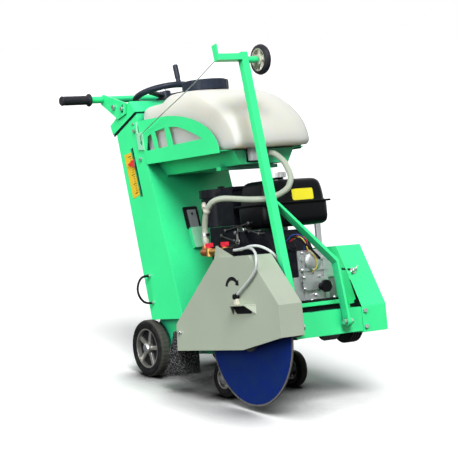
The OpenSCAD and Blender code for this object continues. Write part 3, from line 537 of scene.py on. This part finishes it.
def adopt(piece, body, replaced=()):
    bpy.context.scene.collection.objects.link(piece)
    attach(piece, body)
    if replaced:
        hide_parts(*replaced)


# a smooth line through a route's points
def curveThrough(route, steps):
    spots = [Vector(spot) for spot in route]
    ends = [2 * spots[0] - spots[1]] + spots + [2 * spots[-1] - spots[-2]]
    line = []
    for a, b, c, d in zip(ends, ends[1:], ends[2:], ends[3:]):
        for k in range(steps):
            t = k / steps
            line.append(0.5 * (2 * b + (c - a) * t + (2 * a - 5 * b + 4 * c - d) * t ** 2
                               + (3 * b - a - 3 * c + d) * t ** 3))
    return line + [spots[-1]]


def addCord(name, cord):
    line = [place(*spot) for spot in curveThrough(cord["route"], cord["steps"])]
    curve = bpy.data.curves.new(name, "CURVE")
    curve.dimensions = "3D"
    curve.bevel_depth = cord["size"] / 2000
    curve.bevel_resolution = 5
    curve.use_fill_caps = True
    spline = curve.splines.new("POLY")
    spline.points.add(len(line) - 1)
    for point, spot in zip(spline.points, line):
        point.co = (*spot, 1)
    spline.use_smooth = True
    curve.materials.append(finishes[cord["coat"]])
    piece = bpy.data.objects.new(name, curve)
    adopt(piece, "chassis", [cord["node"]])


# cords: the routes of the solid model
cords = {
    "waterHose": {"node": "water_hose", "size": 20, "steps": 2, "coat": "clearHose",
        "stiffness": "medium", "lay": "loose", "route": [
            (572, -20, 636), (572, -2, 636), (590, 15, 631), (640, 12, 605), (675, 2, 578), (712, -14, 544),
            (735, -45, 510), (742, -86, 490), (734, -122, 480), (712, -142, 478), (650, -160, 483),
            (590, -178, 491), (555, -193, 493), (524, -206, 484), (495, -211, 456), (472, -206, 418),
            (462, -202, 392), (462, -202, 372)]},
    "nearTube": {"node": "spray_tube_near", "size": 9, "steps": 3, "coat": "whiteTube",
        "stiffness": "medium", "lay": "loose", "route": [
            (648, -224, 322), (668, -224, 322), (704, -226, 325), (748, -234, 326), (790, -248, 320),
            (824, -263, 306), (838, -272, 284), (832, -273, 260), (808, -273, 236), (776, -273, 214.5),
            (742.4, -273, 195), (719.9, -273, 182)]},
    "farTube": {"node": "spray_tube_far", "size": 9, "steps": 3, "coat": "whiteTube",
        "stiffness": "medium", "lay": "loose", "route": [
            (648, -206, 322), (668, -206, 322), (704, -197, 330), (736, -188, 329), (764, -177, 318),
            (783, -164, 300), (786, -150, 276), (780, -140, 254), (766, -138, 240), (753, -143, 236),
            (748, -153, 236), (748, -162.6, 236)]},
    "holdUpWire": {"node": "hold_up_wire", "size": 3, "steps": 6, "coat": "zincSteel",
        "stiffness": "stiff", "lay": "taut", "route": [
            (80, -179.5, 750), (280, -205, 808), (480, -228, 866), (684.8, -251, 935)]},
    "cableLoop": {"node": "cable_loop", "size": 8, "steps": 4, "coat": "mattBlack",
        "stiffness": "medium", "lay": "loose", "route": [
            (40, -176, 255), (40, -188, 255), (43, -206, 250), (45, -221, 232), (46, -227, 208),
            (47, -221, 184), (48, -206, 166), (48, -188, 160), (48, -176, 160)]},
    "engineLoom": {"node": "engine_wires", "size": 7, "steps": 3, "coat": "mattBlack",
        "stiffness": "medium", "lay": "loose", "route": [
            (677.8, -30, 340), (684.8, -30, 343.9), (698, -29, 349), (712, -24, 348), (724, -12, 338),
            (732, 6, 320), (736, 28, 298), (735, 50, 278), (731, 60, 270.5), (722.1, 60, 270.5)]},
}
for cordName, cordFacts in cords.items():
    addCord(cordName, cordFacts)


def between(table, value):
    for (a, low), (b, high) in zip(table, table[1:]):
        if value <= b:
            return low + (high - low) * (value - a) / (b - a)


def roundRect(low, high, inset, corner, steps):
    ring = []
    spots = [(high[0], high[1], 0), (low[0], high[1], 90), (low[0], low[1], 180), (high[0], low[1], 270)]
    for x, y, start in spots:
        cx = x - (inset + corner) * (1 if x == high[0] else -1)
        cy = y - (inset + corner) * (1 if y == high[1] else -1)
        for k in range(steps + 1):
            turn = math.radians(start + 90 * k / steps)
            ring.append((cx + corner * math.cos(turn), cy + corner * math.sin(turn)))
    return ring


# water tank: soft blow-moulded shell, each size by height
tankForm = {
    "rear": [(655, 94), (785, 58), (826, 60), (838, 66), (844, 78), (846, 96), (848, 160), (850, 171),
        (858, 177), (868, 183), (874, 190), (877, 203)],
    "front": [(655, 610), (660, 617), (668, 622), (684, 623), (700, 619), (725, 610), (748, 597),
        (766, 582), (780, 568), (796, 550), (812, 528), (838, 490), (864, 416), (874, 362), (877, 325)],
    "half": [(655, 146), (660, 150), (668, 153), (800, 153), (820, 151), (836, 147), (850, 141), (860, 135),
        (868, 128), (874, 120), (877, 110)],
    "rearCorner": [(655, 12), (840, 12), (846, 16), (850, 18), (877, 24)],
    "frontCorner": [(655, 12), (668, 18), (730, 26), (780, 42), (830, 62), (877, 64)],
    "levels": [655, 657, 660, 664, 668, 676, 690, 705, 720, 735, 748, 758, 768, 776, 783, 790, 797, 805,
        814, 824, 832, 838, 842, 845, 846.5, 848, 849.5, 852, 856, 861, 866, 870, 873, 875.5, 877],
    "cornerShare": 0.48, "cornerSteps": 8, "sideSteps": 10, "neckAt": (246, 0, 0),
    "neck": [(76, 872), (70, 878), (66, 884), (66, 898), (61, 898), (61, 868)],
    "outlet": ((560, -70, 612), (584, -20, 657)),
}


def tankRing(form, level):
    keys = ("rear", "front", "half", "rearCorner", "frontCorner")
    rear, front, half, tight, loose = [between(form[key], level) for key in keys]
    loose = min(loose, (front - rear) * form["cornerShare"])
    steps = form["cornerSteps"]
    arcs = []
    corners = [(front - loose, loose - half, loose, -90), (front - loose, half - loose, loose, 0),
               (rear + tight, half - tight, tight, 90), (rear + tight, tight - half, tight, 180)]
    for x, y, radius, start in corners:
        turns = [math.radians(start + 90 * k / steps) for k in range(steps + 1)]
        arcs.append([Vector((x + radius * math.cos(a), y + radius * math.sin(a), level)) for a in turns])
    ring = []
    for arc, after in zip(arcs, arcs[1:] + arcs[:1]):
        shares = [k / form["sideSteps"] for k in range(1, form["sideSteps"])]
        ring += arc + [arc[-1].lerp(after[0], share) for share in shares]
    return ring


def addWaterTank(form):
    tank = Shape()
    tank.loft([tankRing(form, level) for level in form["levels"]])
    tank.at(form["neckAt"]).lathe(form["neck"], sides=56)
    tank.home().block(*form["outlet"])
    tank.build("waterTank", "tankPlastic", replaced=["water_tank"], keen=50)


# fuel tank: two pressed halves with a rolled seam, as rings of height and inset, and a blank patch
fuelForm = {
    "low": (520, -112), "high": (688, 157), "corner": 30, "seamCorner": 14, "cornerLoss": 0.2,
    "cornerSteps": 7,
    "rings": [(383, 26), (384, 18), (387, 10), (393, 4), (401, 1), (411, 0), (455, 0), (457.5, 1),
        (458, -5), (459, -6), (463, -6), (464, -5), (464.5, 4), (468, 6), (490, 8), (508, 10.5), (520, 13),
        (528, 16.5), (534.5, 22), (538, 29), (539.6, 37), (540, 46)],
    "neckAt": (600, 8, 0), "neck": [(30, 538), (26, 541), (24, 543), (24, 547), (19, 547), (19, 539)],
    "patchAt": (682.4, 0, 467), "patchUp": (-4.5, 0, 40), "patch": ((8, 0), (95, 38)), "patchCorner": 6,
    "patchThick": 0.9,
}


def addFuelTank(form):
    tank = Shape()
    rings = []
    for level, inset in form["rings"]:
        corner = form["corner"] - inset * form["cornerLoss"]
        if inset < 0:
            corner = form["seamCorner"]
        ring = roundRect(form["low"], form["high"], inset, corner, form["cornerSteps"])
        rings.append([(x, y, level) for x, y in ring])
    tank.loft(rings)
    tank.at(form["neckAt"]).lathe(form["neck"])
    tank.build("fuelTank", "blackGloss", replaced=["fuel_tank"], keen=50)
    patch = Shape().axes(form["patchAt"], (0, 1, 0), form["patchUp"])
    patch.plate(roundRect(*form["patch"], 0, form["patchCorner"], steps=3), form["patchThick"])
    patch.build("blankPatch", "patchYellow", bevel=0.2)


# rubber grips: flange, ribs as depth and share of their pitch, and an end ring
gripForm = {
    "at": (-160, 902), "root": 231, "radius": 16.5, "ribs": 11, "ribsFrom": 10, "ribsRun": 98,
    "flange": [(13.5, 0), (22, 0), (23, 1.2), (23, 4.5), (18.5, 6.5), (16.5, 9)],
    "rib": [(0, 0), (0, 0.55), (1.6, 0.65), (1.6, 0.9)],
    "tip": [(16.5, 109), (17.1, 111), (17.1, 115), (14.5, 118), (2, 118)],
}


def addGrips(form):
    pitch = form["ribsRun"] / form["ribs"]
    line = list(form["flange"])
    for k in range(form["ribs"]):
        start = form["ribsFrom"] + k * pitch
        line += [(form["radius"] - depth, start + pitch * share) for depth, share in form["rib"]]
    line += form["tip"]
    grips = Shape()
    x, z = form["at"]
    for side in (-1, 1):
        grips.at((x, side * form["root"], z), (0, side, 0)).lathe(line, sides=36)
    grips.build("gripSleeves", "gripRubber", "handlebar", replaced=["grips"], keen=40)


# depth scale beside the slot with long and short ticks, painted shade as dark strips along the slot, and the
# pointer's red face
scaleForm = {
    "side": -168, "outline": [(-58, 690), (-8, 697), (23, 543), (-22, 531)], "thick": 0.9, "ticks": 17,
    "tickFrom": 0.08, "tickRun": 0.84, "tickEdge": 0.12, "tickThick": 0.25, "longEvery": 4,
    "long": {"reach": 0.42, "half": 1.3}, "short": {"reach": 0.24, "half": 0.9}, "slotAt": (7, -168, 655),
    "slotAxes": ((0.976, 0, 0.216), (-0.216, 0, 0.976)), "slotEnds": (-123, 57),
    "shadeStrips": [(-6, -4), (4, 8.5)], "shadeThick": 0.7, "pointerSide": -174,
    "pointer": [(-34, 654), (12, 640), (12, 672)], "pointerThick": 0.8,
}


def addDepthScale(form):
    plate = Shape().onSide(form["side"])
    plate.plate(form["outline"], form["thick"])
    plate.build("depthScale", "scaleYellow", bevel=0.2)
    marks = Shape().onSide(form["side"] - form["thick"])
    topLeft, topRight, lowRight, lowLeft = [Vector(spot) for spot in form["outline"]]
    for k in range(form["ticks"]):
        down = form["tickFrom"] + form["tickRun"] * k / (form["ticks"] - 1)
        right, left = topRight.lerp(lowRight, down), topLeft.lerp(lowLeft, down)
        tick = form["short"] if k % form["longEvery"] else form["long"]
        tip = right.lerp(left, form["tickEdge"])
        root = right.lerp(left, form["tickEdge"] + tick["reach"])
        rise = Vector((0, tick["half"]))
        marks.plate([tip + rise, root + rise, root - rise, tip - rise], form["tickThick"])
    marks.build("scaleMarks", "mattBlack")
    # painted shade: dark strips on both sides of the slot widen its shadow
    slotShading = Shape().axes(form["slotAt"], *form["slotAxes"])
    low, high = form["slotEnds"]
    for near, far in form["shadeStrips"]:
        slotShading.plate([(near, low), (far, low), (far, high), (near, high)], form["shadeThick"])
    slotShading.build("slotShade", "mattBlack", bevel=0.2)
    face = Shape().onSide(form["pointerSide"])
    face.plate(form["pointer"], form["pointerThick"])
    face.build("pointerFace", "pointerRed", "lift", bevel=0.25)


# turning arrow on the guard, and a painted shadow below its nozzle shelf
arrowForm = {
    "side": -262, "thick": 0.4, "centre": (679, 198), "radius": 34, "half": 6, "from": 163, "to": 40,
    "steps": 24, "headWide": 13, "headLong": 16, "shade": [(672, 145), (692, 118), (772, 118), (796, 145)],
}


def addArrow(form):
    arrow = Shape().onSide(form["side"])
    thick, steps, sweep = form["thick"], form["steps"], form["to"] - form["from"]
    centre = Vector(form["centre"])
    turns = [math.radians(form["from"] + sweep * k / steps) for k in range(steps + 1)]
    rays = [Vector((math.cos(a), math.sin(a))) for a in turns]
    outer = [centre + ray * (form["radius"] + form["half"]) for ray in rays]
    inner = [centre + ray * (form["radius"] - form["half"]) for ray in rays]
    for i in range(steps):
        arrow.plate([outer[i], outer[i + 1], inner[i + 1], inner[i]], thick)
    out = rays[-1]
    along = Vector((out.y, -out.x))
    root = centre + out * form["radius"]
    wing = out * form["headWide"]
    arrow.plate([root + wing, root + along * form["headLong"], root - wing], thick)
    # painted shadow: a dark sheet under the nozzle shelf
    arrow.plate(form["shade"], thick)
    arrow.build("guardMarksAndShadow", "mattBlack")


# what hangs on the column's front face: a dark plate above the pocket and the pocket's bright front
faceForm = {
    "foot": (232, 0, 100), "lean": 14.53, "corner": 6, "plate": ((-68, 316), (-6, 398)), "plateThick": 0.9,
    "pocket": ((-60, 245), (-10, 320)), "pocketInset": 0.5, "pocketOut": 14, "pocketThick": 0.6,
}


def addColumnFront(form):
    lean = math.radians(form["lean"])
    upward = (-math.sin(lean), 0, math.cos(lean))
    plate = Shape().axes(form["foot"], (0, 1, 0), upward)
    plate.plate(roundRect(*form["plate"], 0, form["corner"], steps=3), form["plateThick"])
    plate.build("columnDarkPlate", "mattBlack", bevel=0.3)
    front = Shape().axes(form["foot"], (0, 1, 0), upward)
    outline = roundRect(*form["pocket"], form["pocketInset"], form["corner"], steps=3)
    front.plate(outline, form["pocketThick"], form["pocketOut"])
    front.build("pocketFront", "paleGreen", bevel=0.25)


# painted shadow: a dark strip under the lid's edge, on both sides
lidForm = {"half": 168, "thick": 1.4, "outline": [(44, 835), (-114, 768), (-112, 760), (46, 827)]}


def addLidShadow(form):
    strip = Shape()
    for side in (-1, 1):
        strip.onSide(side * form["half"])
        strip.plate(form["outline"], -side * form["thick"])
    strip.build("lidShadowStrip", "mattBlack", bevel=0.3)


# bristles that stand out of the brush's core: a third at its ends, a third on its sides
brushForm = {
    "count": 620, "seed": 4, "low": -258, "high": -176, "outside": 0.6, "sizes": (1.1, 1.0, 0.6),
    "rootFrom": 279, "rootRun": 41, "rootTop": 22, "tipFrom": 237, "tipRun": 80, "tipLevels": (-86, -78),
    "rootStray": 1, "tipStray": 5, "sideStray": 4, "bend": 1.5,
}


def addBristles(form):
    dice = random.Random(form["seed"])
    low, high, bend = form["low"], form["high"], form["bend"]

    def stray(key):
        return dice.uniform(-form[key], form[key])

    brush = Shape()
    for i in range(form["count"]):
        t = dice.random() if i % 3 else dice.choice((0.0, 1.0))
        y = dice.uniform(low, high)
        if i % 3 == 2:
            y = dice.choice((low - form["outside"], high + form["outside"]))
        rootX = form["rootFrom"] + form["rootRun"] * t + stray("rootStray")
        root = (rootX, y, dice.uniform(0, form["rootTop"]))
        tipX = form["tipFrom"] + form["tipRun"] * t + stray("tipStray")
        tip = (tipX, y + stray("sideStray"), dice.uniform(*form["tipLevels"]))
        middle = [(a + b) / 2 + dice.uniform(-bend, bend) for a, b in zip(root, tip)]
        brush.pipe([root, middle, tip], lambda k: form["sizes"][k], sides=4)
    brush.build("brushStrands", "bristles")


# engine dressing: crankcase, deck rail, cowl, regulator, wires and throttle links
# washer and hexagon are shares of a bolt head's corner and height
engineForm = {
    "bolts": [((722, 34, 236), 10), ((722, -6, 236), 10), ((716, 2, 292), 9), ((725, 58, 212), 9),
        ((725, -5, 174), 9), ((720, 42, 152), 10), ((722, 24, 134), 11), ((720, 84, 120), 9),
        ((715, 88, 292), 9), ((725, -5, 212), 9), ((714, 126, 248), 10), ((708, 112, 180), 12),
        ((708, 126, 136), 10)],
    "boltTall": 6, "washer": [(1.25, 0), (1.25, 0.22)], "hexagon": [(1, 0.22), (1, 0.85), (0.86, 1)],
    "domeAt": (715, 38, 262), "dome": [(34, 0), (33, 6), (29, 11), (21, 14), (9, 15), (1, 15.2)],
    "ringAt": (600, 100, 206), "ring": [(62.5, 0), (98, 0), (98, 13), (88, 19), (62.5, 19)],
    "blocks": [((722, -12, 167), (725, 66, 219)), ((708, -44, 112), (716, -17, 214)),
        ((690, 80, 299), (702, 99, 384)), ((668, 99, 205), (714, 136, 258)),
        ((690, 99, 258), (706, 120, 284))],
    "foot": ((668, 99, 112), (708, 136, 205)), "rail": ((752, -132, 117), (764, 132, 130)),
    "railPad": ((737, -132, 100.4), (752, 132, 138)), "noseSide": -70, "noseWide": 36,
    "nose": [(572, 300), (700, 300), (662, 372), (572, 378)], "regulatorAt": (694.4, -31, 310),
    "regulatorToward": (0.874, 0, 0.485),
    "regulator": [(19, 0), (19, 13), (17, 16), (11, 17), (11, 21), (8, 22), (1, 22)],
    "wires": {
        "redPlastic": [(690, -26, 332), (714, -12, 350), (727, 8, 342), (727, 18, 322), (718, 20, 296)],
        "yellowWire": [(688, -20, 334), (718, -6, 346), (732, 6, 325), (734, 12, 303), (734, 26, 289),
            (734, 40, 274), (733, 46, 252), (730, 40, 236), (722, 30, 226)],
        "blueWire": [(688, -38, 336), (710, -26, 354), (724, -4, 350), (727, 8, 330), (716, 8, 298)]},
    "wireRadius": 1.6,
    "links": [[(474, -127, 388), (540, -130, 396), (610, -127, 405)],
        [(590, -127, 386), (628, -130, 378), (662, -127, 368)],
        [(448, -127, 372), (470, -130, 366), (520, -127, 352)]],
    "linkRadius": 2.2, "pinSide": -105, "pin": [(4, 0), (4, 18), (6, 19), (6, 25), (4.5, 26), (3, 27)],
}


def addEngineDressing(form):
    bolts = Shape()
    for spot, across in form["bolts"]:
        bolts.at(spot, (1, 0, 0))
        corner, tall = across / math.sqrt(3), form["boltTall"]
        for part, sides in (("washer", 24), ("hexagon", 6)):
            bolts.lathe([(corner * r, tall * h) for r, h in form[part]], sides)
    bolts.build("crankcaseBolts", "zincSteel", bevel=0.3)
    casting = Shape().at(form["domeAt"], (1, 0, 0)).lathe(form["dome"], sides=48)
    casting.at(form["ringAt"], (0, 1, 0)).lathe(form["ring"], sides=56, joined=True)
    casting.home()
    for low, high in form["blocks"]:
        casting.block(low, high)
    casting.build("crankcaseCover", "castAlloy", bevel=1.2)
    Shape().block(*form["foot"]).build("crankcaseFoot", "castIron", bevel=2)
    Shape().block(*form["rail"]).build("engineRail", "coverPaint", bevel=1)
    Shape().block(*form["railPad"]).build("engineRailPad", "mattBlack", bevel=1)
    nose = Shape().onSide(form["noseSide"])
    nose.plate(form["nose"], form["noseWide"])
    nose.build("cowlNose", "blackPlastic", bevel=4)
    regulator = Shape().at(form["regulatorAt"], form["regulatorToward"])
    regulator.lathe(form["regulator"], sides=36)
    regulator.build("regulator", "blackPlastic", keen=40)
    for coat, path in form["wires"].items():
        Shape().pipe(curveThrough(path, steps=4), form["wireRadius"], sides=8).build("wire." + coat, coat)
    links = Shape()
    for path in form["links"]:
        links.home().pipe(curveThrough(path, steps=4), form["linkRadius"], sides=8)
        for x, y, z in (path[0], path[-1]):
            links.at((x, form["pinSide"], z), (0, -1, 0)).lathe(form["pin"], sides=20)
    links.build("throttleLinks", "darkSteel", keen=40)


# wing bolt in the belt guard's slot, and the dark ends of slot and seam on the guard's inner side
wingForm = {
    "at": (770, 162, 218), "toward": (0.883, 0, 0.47), "spin": 30,
    "bolt": [(11, 1), (11, 3), (7, 3.2), (7, 11), (5, 13), (3.5, 13), (3.5, 18), (2.6, 19), (0.5, 19)],
    "wing": [(5, 4), (14, 6), (19, 15), (16, 20), (10, 15), (5, 12)], "wingHalf": 2, "innerSide": 138,
    "seamThick": 0.4, "slot": [(742, 232), (761, 229), (764.5, 223), (745, 224)],
    "seam": [(782.6, 191), (780, 190.5), (803, 127), (793, 122.5), (793.5, 114.6), (769, 111.3), (770, 101),
        (828.5, 101), (828.5, 103.5)],
}


def addWingBolt(form):
    bolt = Shape().at(form["at"], form["toward"], form["spin"])
    bolt.lathe(form["bolt"], sides=28)
    half = form["wingHalf"]
    for side in (-1, 1):
        bolt.loft([[(side * x, y, h) for x, h in form["wing"]] for y in (-half, half)])
    bolt.build("wingBolt", "zincSteel", bevel=0.6)
    seam = Shape().onSide(form["innerSide"])
    for outline in (form["slot"], form["seam"]):
        seam.plate(outline, form["seamThick"])
    seam.build("beltGuardSeam", "mattBlack")


# bright hub of the depth wheel: washer and nut
hubForm = {
    "top": (-20, 0, 901), "rake": 12.5, "washer": [(22, 6), (22, 7.5), (15, 8), (15, 9)],
    "nut": [(11, 8.6), (11, 15), (9.5, 17), (5, 17), (5, 22), (4, 23), (0.5, 23)],
}


def addHub(form):
    rake = math.radians(form["rake"])
    hub = Shape().at(form["top"], (-math.sin(rake), 0, math.cos(rake)))
    hub.lathe(form["washer"], sides=36)
    hub.lathe(form["nut"], sides=6)
    hub.build("wheelHub", "zincSteel", "depth_wheel", keen=30)


# spring clip where the hose bends down, with its tab and button
clipForm = {
    "at": (497, -211, 459), "along": (23, 5, 38), "band": [(10.3, -5), (12.2, -5), (12.2, 5), (10.3, 5)],
    "tabSide": -206, "tab": ((466, 462), (488, 488)), "tabCorner": 8, "tabThick": 3,
    "buttonAt": (477, -208, 475), "button": [(6, 0), (6, 4), (4, 5.5), (0.5, 6)],
}


def addHoseClip(form):
    clip = Shape().at(form["at"], form["along"])
    clip.lathe(form["band"], sides=36, joined=True)
    clip.build("hoseClip", "creamRim", bevel=0.3)
    tab = Shape().onSide(form["tabSide"])
    tab.plate(roundRect(*form["tab"], 0, form["tabCorner"], steps=4), form["tabThick"])
    tab.at(form["buttonAt"], (0, -1, 0)).lathe(form["button"], sides=20)
    tab.build("clipTab", "creamRim", bevel=0.8)


# what dresses the valve: hose end and clamp on its riser, dull union, outlet block, stay and nozzle body
valveForm = {
    "riser": (462, -202, 0), "hoseEnd": [(10.4, 345), (11, 346), (11, 376), (10.2, 377)],
    "union": [(13.8, 331), (13.8, 340), (12, 345.5), (10.3, 346.5)], "sleeveAt": (462, -215, 322),
    "sleeve": [(11.1, 0), (13, 0), (13, 20), (11.1, 20)], "outlet": ((607, -236, 312), (652, -194, 332)),
    "clamp": [(10.1, 374.6), (12.9, 374.6), (12.9, 385.4), (10.1, 385.4)], "staySide": -236.2,
    "stay": [(556, 299), (571, 339), (579, 339), (662, 304), (662, 299)], "stayThick": 3,
    "nozzle": ((698, -277, 147.2), (715, -262.2, 167)),
}


def addValveDressing(form):
    Shape().at(form["riser"]).lathe(form["hoseEnd"], sides=36).build("hoseEnd", "clearHose", keen=40)
    union = Shape().at(form["riser"]).lathe(form["union"], sides=36)
    union.at(form["sleeveAt"], (1, 0, 0)).lathe(form["sleeve"], sides=36, joined=True)
    union.build("valveUnion", "brownBrass", keen=40)
    Shape().block(*form["outlet"]).build("valveOutlet", "mattBlack", bevel=1.5)
    clamp = Shape().at(form["riser"]).lathe(form["clamp"], sides=36, joined=True)
    clamp.build("hoseClamp", "zincSteel", keen=40)
    stay = Shape().onSide(form["staySide"])
    stay.plate(form["stay"], form["stayThick"])
    stay.build("valveStay", "guardPaint", bevel=0.4)
    Shape().block(*form["nozzle"]).build("nozzleBody", "creamRim", bevel=1.5)


# dark web behind the spokes of each wheel
webForm = {"rear": 64.6, "front": 30.6, "bore": 13, "half": 2}


def addWheelWebs(form):
    bore, half = form["bore"], form["half"]
    for end in wheelSizes:
        reach = form[end]
        for side in ("right", "left"):
            low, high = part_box(end + "_rim_" + side)
            middle = chassis.inverted() @ ((Vector(low) + Vector(high)) / 2)
            web = Shape().at(middle, (0, 1, 0))
            web.lathe([(bore, -half), (reach, -half), (reach, half), (bore, half)], sides=48, joined=True)
            web.build("rimWeb." + end + "." + side, "mattBlack", end + "_wheel_" + side, keen=30)


# bright caps on the axle ends
capForm = {
    "rear": {"start": 183, "body": "rear_wheel_{}", "line": [(18, 0), (18, 3), (13, 6.5), (1, 7.5)]},
    "front": {"start": 157.2, "body": "front_axle", "line": [(13.5, 0), (13.5, 3.2), (10, 5), (1, 5.4)]},
}


def addAxleCaps(form):
    for end, facts in form.items():
        x, z = wheelSizes[end]["hub"]
        for side, name in ((-1, "right"), (1, "left")):
            cap = Shape().at((x, side * facts["start"], z), (0, side, 0)).lathe(facts["line"], sides=32)
            cap.build("axleCap." + end + "." + name, "zincSteel", facts["body"].format(name), keen=30)


# weld beads along the main joints
weldForm = {
    "seams": [[(236, -160, 101), (236, 160, 101)], [(28, -160, 101), (28, 160, 101)],
        [(330, -170, 102), (560, -170, 102)]],
    "radius": 2.6, "pitch": 3, "thin": 0.82, "ripple": 0.3, "uneven": 0.08, "seed": 9,
}


def addWelds(form):
    dice = random.Random(form["seed"])
    uneven = form["uneven"]
    weld = Shape()
    for start, end in form["seams"]:
        start, end = Vector(start), Vector(end)
        count = int((end - start).length / form["pitch"])
        path = [start.lerp(end, k / count) for k in range(count + 1)]
        gains = [form["thin"] + form["ripple"] * (k % 2) + dice.uniform(-uneven, uneven)
                 for k in range(count + 1)]
        weld.pipe(path, lambda k: form["radius"] * gains[k], sides=8)
    weld.build("weldBeads", "greenPaint")


addWaterTank(tankForm)
addFuelTank(fuelForm)
addGrips(gripForm)
print("tanks and grips made")
addDepthScale(scaleForm)
addArrow(arrowForm)
addColumnFront(faceForm)
addLidShadow(lidForm)
print("plates made")
addBristles(brushForm)
addEngineDressing(engineForm)
addWingBolt(wingForm)
addHub(hubForm)
addHoseClip(clipForm)
addValveDressing(valveForm)
addWheelWebs(webForm)
addAxleCaps(capForm)
addWelds(weldForm)
print("details made")

# floor, backdrop and lamps
studio = {
    "floor": 40.0, "floorRough": 0.9, "floorBounce": 0.12, "shade": (0.3, 0.5, 0.97),
    "shadeTones": (0.005, 1), "glow": 0.14, "sky": 0.05, "skyColour": (0.7, 0.9, 1, 1),
    "lamps": {"keySun": {"spot": (3.0, -1.5, 3.6), "power": 3.35, "spread": 24},
        "fillSun": {"spot": (1.0, -4.0, 1.6), "power": 2.0, "spread": 40},
        "backSun": {"spot": (-3.0, 3.4, 1.3), "power": 0.7, "spread": 60}},
}


# the camera sees a white floor with a painted contact shadow that darkens it close to the machine, and other
# rays a dull one
def addStage():
    mesh = bpy.data.meshes.new("studioFloor")
    half = studio["floor"]
    corners = [(-half, -half, 0), (half, -half, 0), (half, half, 0), (-half, half, 0)]
    mesh.from_pydata(corners, [], [(0, 1, 2, 3)])
    floor = bpy.data.objects.new("studioFloor", mesh)
    bpy.context.scene.collection.objects.link(floor)
    look = Finish("floorWhite", Roughness=studio["floorRough"], Specular_IOR_Level=0.0, Emission_Strength=1.0)
    seen = look.node("LightPath", output="Is Camera Ray")
    # painted contact shadow: occlusion darkens the floor's colour and glow close to the machine
    clear = look.openness(*studio["shade"])
    near = look.blend(clear, *[grey(tone) for tone in studio["shadeTones"]])
    glow = look.blend(clear, grey(0), grey(studio["glow"]))
    look.set(Base_Color=look.blend(seen, grey(studio["floorBounce"]), near))
    look.set(Emission_Color=look.blend(seen, grey(0), glow))
    mesh.materials.append(look.material)


# a white backdrop for the camera, mirrors and clear hoses, and a dim sky as light
def addSky():
    world = bpy.data.worlds.new("studioSky")
    bpy.context.scene.world = world
    world.use_nodes = True
    sky = NodeGraph(world.node_tree)
    seen = sky.node("LightPath", output="Is Camera Ray")
    for ray in ("Is Glossy Ray", "Is Transmission Ray"):
        seen = sky.maths("MAXIMUM", seen, sky.node("LightPath", output=ray))
    dim = sky.node("Background", inputs={"Color": studio["skyColour"], "Strength": studio["sky"]})
    white = sky.node("Background", inputs={"Color": grey(1)})
    mixed = sky.node("MixShader", inputs={0: seen, 1: dim, 2: white})
    sky.feed(sky.tree.nodes["World Output"].inputs["Surface"], mixed)


def addSun(name, spot, power, spread):
    lamp = bpy.data.lights.new(name, "SUN")
    lamp.energy = power
    lamp.angle = math.radians(spread)
    sun = bpy.data.objects.new(name, lamp)
    sun.location = spot
    sun.rotation_euler = (-Vector(spot)).to_track_quat("-Z", "Y").to_euler()
    bpy.context.scene.collection.objects.link(sun)


addStage()
addSky()
for lampName, lampFacts in studio["lamps"].items():
    addSun(lampName, **lampFacts)
bpy.context.scene.view_settings.view_transform = "Standard"
print("studio lit")
